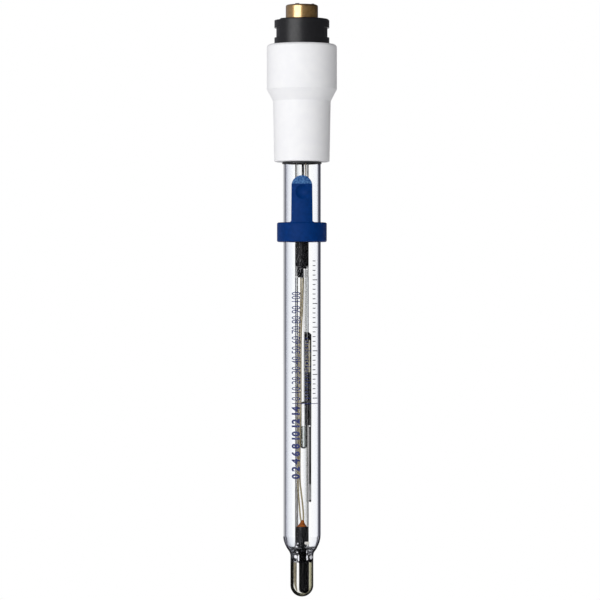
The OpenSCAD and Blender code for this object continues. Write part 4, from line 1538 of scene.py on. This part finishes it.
@dataclass
class Studio:
    """White studio: floor, camera, lamps and world."""

    # Width of what the camera sees at the electrode, and where it stands: how far in front of the
    # axis, how far to its left and how high
    photo_width: float = 191.1 * MM
    distance: float = 1.0
    axis_offset: float = 0.6 * MM
    eye_height: float = 94.43 * MM
    # Width of the camera's sensor, in mm
    sensor: float = 36.0
    # Height of the place that the lamps face
    lamp_aim: float = 0.1
    lamps: tuple[Lamp, ...] = (
        Lamp("key_lamp", azimuth=-32.0, away=0.9, height=0.21, size=(0.8, 0.5), level=0.53, shines=True),
        Lamp("side_lamp", azimuth=-100.0, away=0.7, height=0.2, size=(0.4, 0.5), level=0.2),
        Lamp("fill_lamp", azimuth=16.0, away=1.0, height=0.19, size=(0.8, 0.45), level=0.32),
        Lamp("back_lamp", azimuth=170.0, away=1.0, height=0.19, size=(0.8, 0.45), level=0.4),
    )
    # The world from left to right, as reflections and as diffuse surfaces see it: grey to unlit
    reflected: Stops = ((0.0, "#94949A"), (0.5, "#66666E"), (0.85, "#2E2A2C"), (1.0, "#181A22"))
    ambient: Stops = ((0.0, "#B0B0B2"), (0.5, "#8C8C8E"), (1.0, "#1C1C1E"))
    # How far the floor lies under the electrode, half its width, and where its shadow fades out
    floor_drop: float = 0.06
    floor_half: float = 6.0
    shadow_fade: tuple[float, float] = (0.15, 0.5)
    # Light that the floor adds to its own near the electrode, and gives to others far from it
    floor_lift: float = 0.55
    floor_glow: float = 0.5

    def camera(self) -> None:
        """Level telephoto camera at the height of the electrode's middle."""
        data = bpy.data.cameras.new("camera")
        data.sensor_width = self.sensor
        data.lens = self.sensor * self.distance / self.photo_width
        data.clip_start = 0.05
        data.clip_end = 50.0
        camera = new_object("camera", data)
        camera.location = (-self.axis_offset, -self.distance, self.eye_height)
        camera.rotation_euler = (math.pi / 2, 0.0, 0.0)
        bpy.context.scene.camera = camera

    def world(self) -> None:
        """White for the camera and through glass, and two plain grey levels for the rest."""
        world = bpy.data.worlds.new("studio")
        bpy.context.scene.world = world
        world.use_nodes = True
        tree = world.node_tree
        tree.nodes.clear()
        rays = add(tree, "LightPath").outputs
        across = coordinate(tree, "X", "Generated")
        side = add(tree, "MapRange", Value=across, From_Min=-1.0, From_Max=1.0)
        plain, glossy = (
            add(tree, "Background", Color=add(tree, "ValToRGB", {"stops": stops}, Fac=side))
            for stops in (self.ambient, self.reflected)
        )
        white = add(tree, "Background", Color=linear(WHITE))
        clear = add(
            tree, "Math", {"operation": "MAXIMUM"},
            _0=rays[Ray.CAMERA.value], _1=rays[Ray.TRANSMISSION.value],
        )
        unseen = add(tree, "MixShader", _0=rays[Ray.GLOSSY.value], _1=plain, _2=glossy)
        both = add(tree, "MixShader", _0=clear, _1=unseen, _2=white)
        add(tree, "OutputWorld", Surface=both)

    def paper(self) -> bpy.types.Material:
        """Makes the floor's white paper, which is lit near the electrode and glows far from it.

        Returns:
            The material.
        """
        material, tree = new_material("floor_paper")
        where = add(tree, "TexCoord").outputs["Object"]
        reach = add(tree, "VectorMath", {"operation": "LENGTH"}, _0=where).outputs["Value"]
        near_r, far_r = self.shadow_fade
        far = add(tree, "MapRange", Value=reach, From_Min=near_r, From_Max=far_r)
        rays = add(tree, "LightPath").outputs
        seen: Link = rays[Ray.CAMERA.value]
        for ray in (Ray.TRANSMISSION, Ray.GLOSSY):
            seen = add(tree, "Math", {"operation": "MAXIMUM"}, _0=seen, _1=rays[ray.value]).outputs[0]
        lit = add(tree, "BsdfDiffuse", Color=linear("#BFBFC2"))
        level = add(tree, "Math", {"operation": "MULTIPLY"}, _0=seen, _1=self.floor_lift)
        lift = add(tree, "Emission", Color=linear(WHITE), Strength=level)
        near = add(tree, "AddShader", _0=lit, _1=lift)
        full = add(tree, "Math", {"operation": "MAXIMUM"}, _0=seen, _1=self.floor_glow)
        white = add(tree, "Emission", Color=linear(WHITE), Strength=full)
        mix = add(tree, "MixShader", _0=far, _1=near, _2=white)
        add(tree, "OutputMaterial", Surface=mix)
        return material

    def floor(self) -> None:
        """Pale floor under the hanging electrode. It keeps the shadow near the electrode."""
        half = self.floor_half
        corners = [(-half, -half, 0.0), (half, -half, 0.0), (half, half, 0.0), (-half, half, 0.0)]
        mesh = bpy.data.meshes.new("floor")
        mesh.from_pydata(corners, [], [(0, 1, 2, 3)])
        floor = new_object("floor", mesh)
        floor.location.z = -self.floor_drop
        mesh.materials.append(self.paper())

    def build(self) -> None:
        """Sets up the whole studio."""
        bpy.context.scene.view_settings.view_transform = "Standard"
        # Light crosses up to twelve glass surfaces before it meets the innermost pieces
        cycles = bpy.context.scene.cycles
        cycles.max_bounces = 32
        cycles.transmission_bounces = 32
        cycles.transparent_max_bounces = 64
        self.camera()
        for lamp in self.lamps:
            lamp.build(Vector((0.0, 0.0, self.lamp_aim)))
        self.world()
        self.floor()


def main() -> None:
    """Builds the studio and the electrode's sub-assemblies in order."""
    logging.basicConfig(level=logging.INFO, format="%(name)s: %(message)s")
    Studio().build()
    materials = finishes()
    GlassBody(materials).build()
    InnerParts(materials).build()
    Head(materials).build()
    Print(materials).build()


if __name__ == "__main__":
    main()
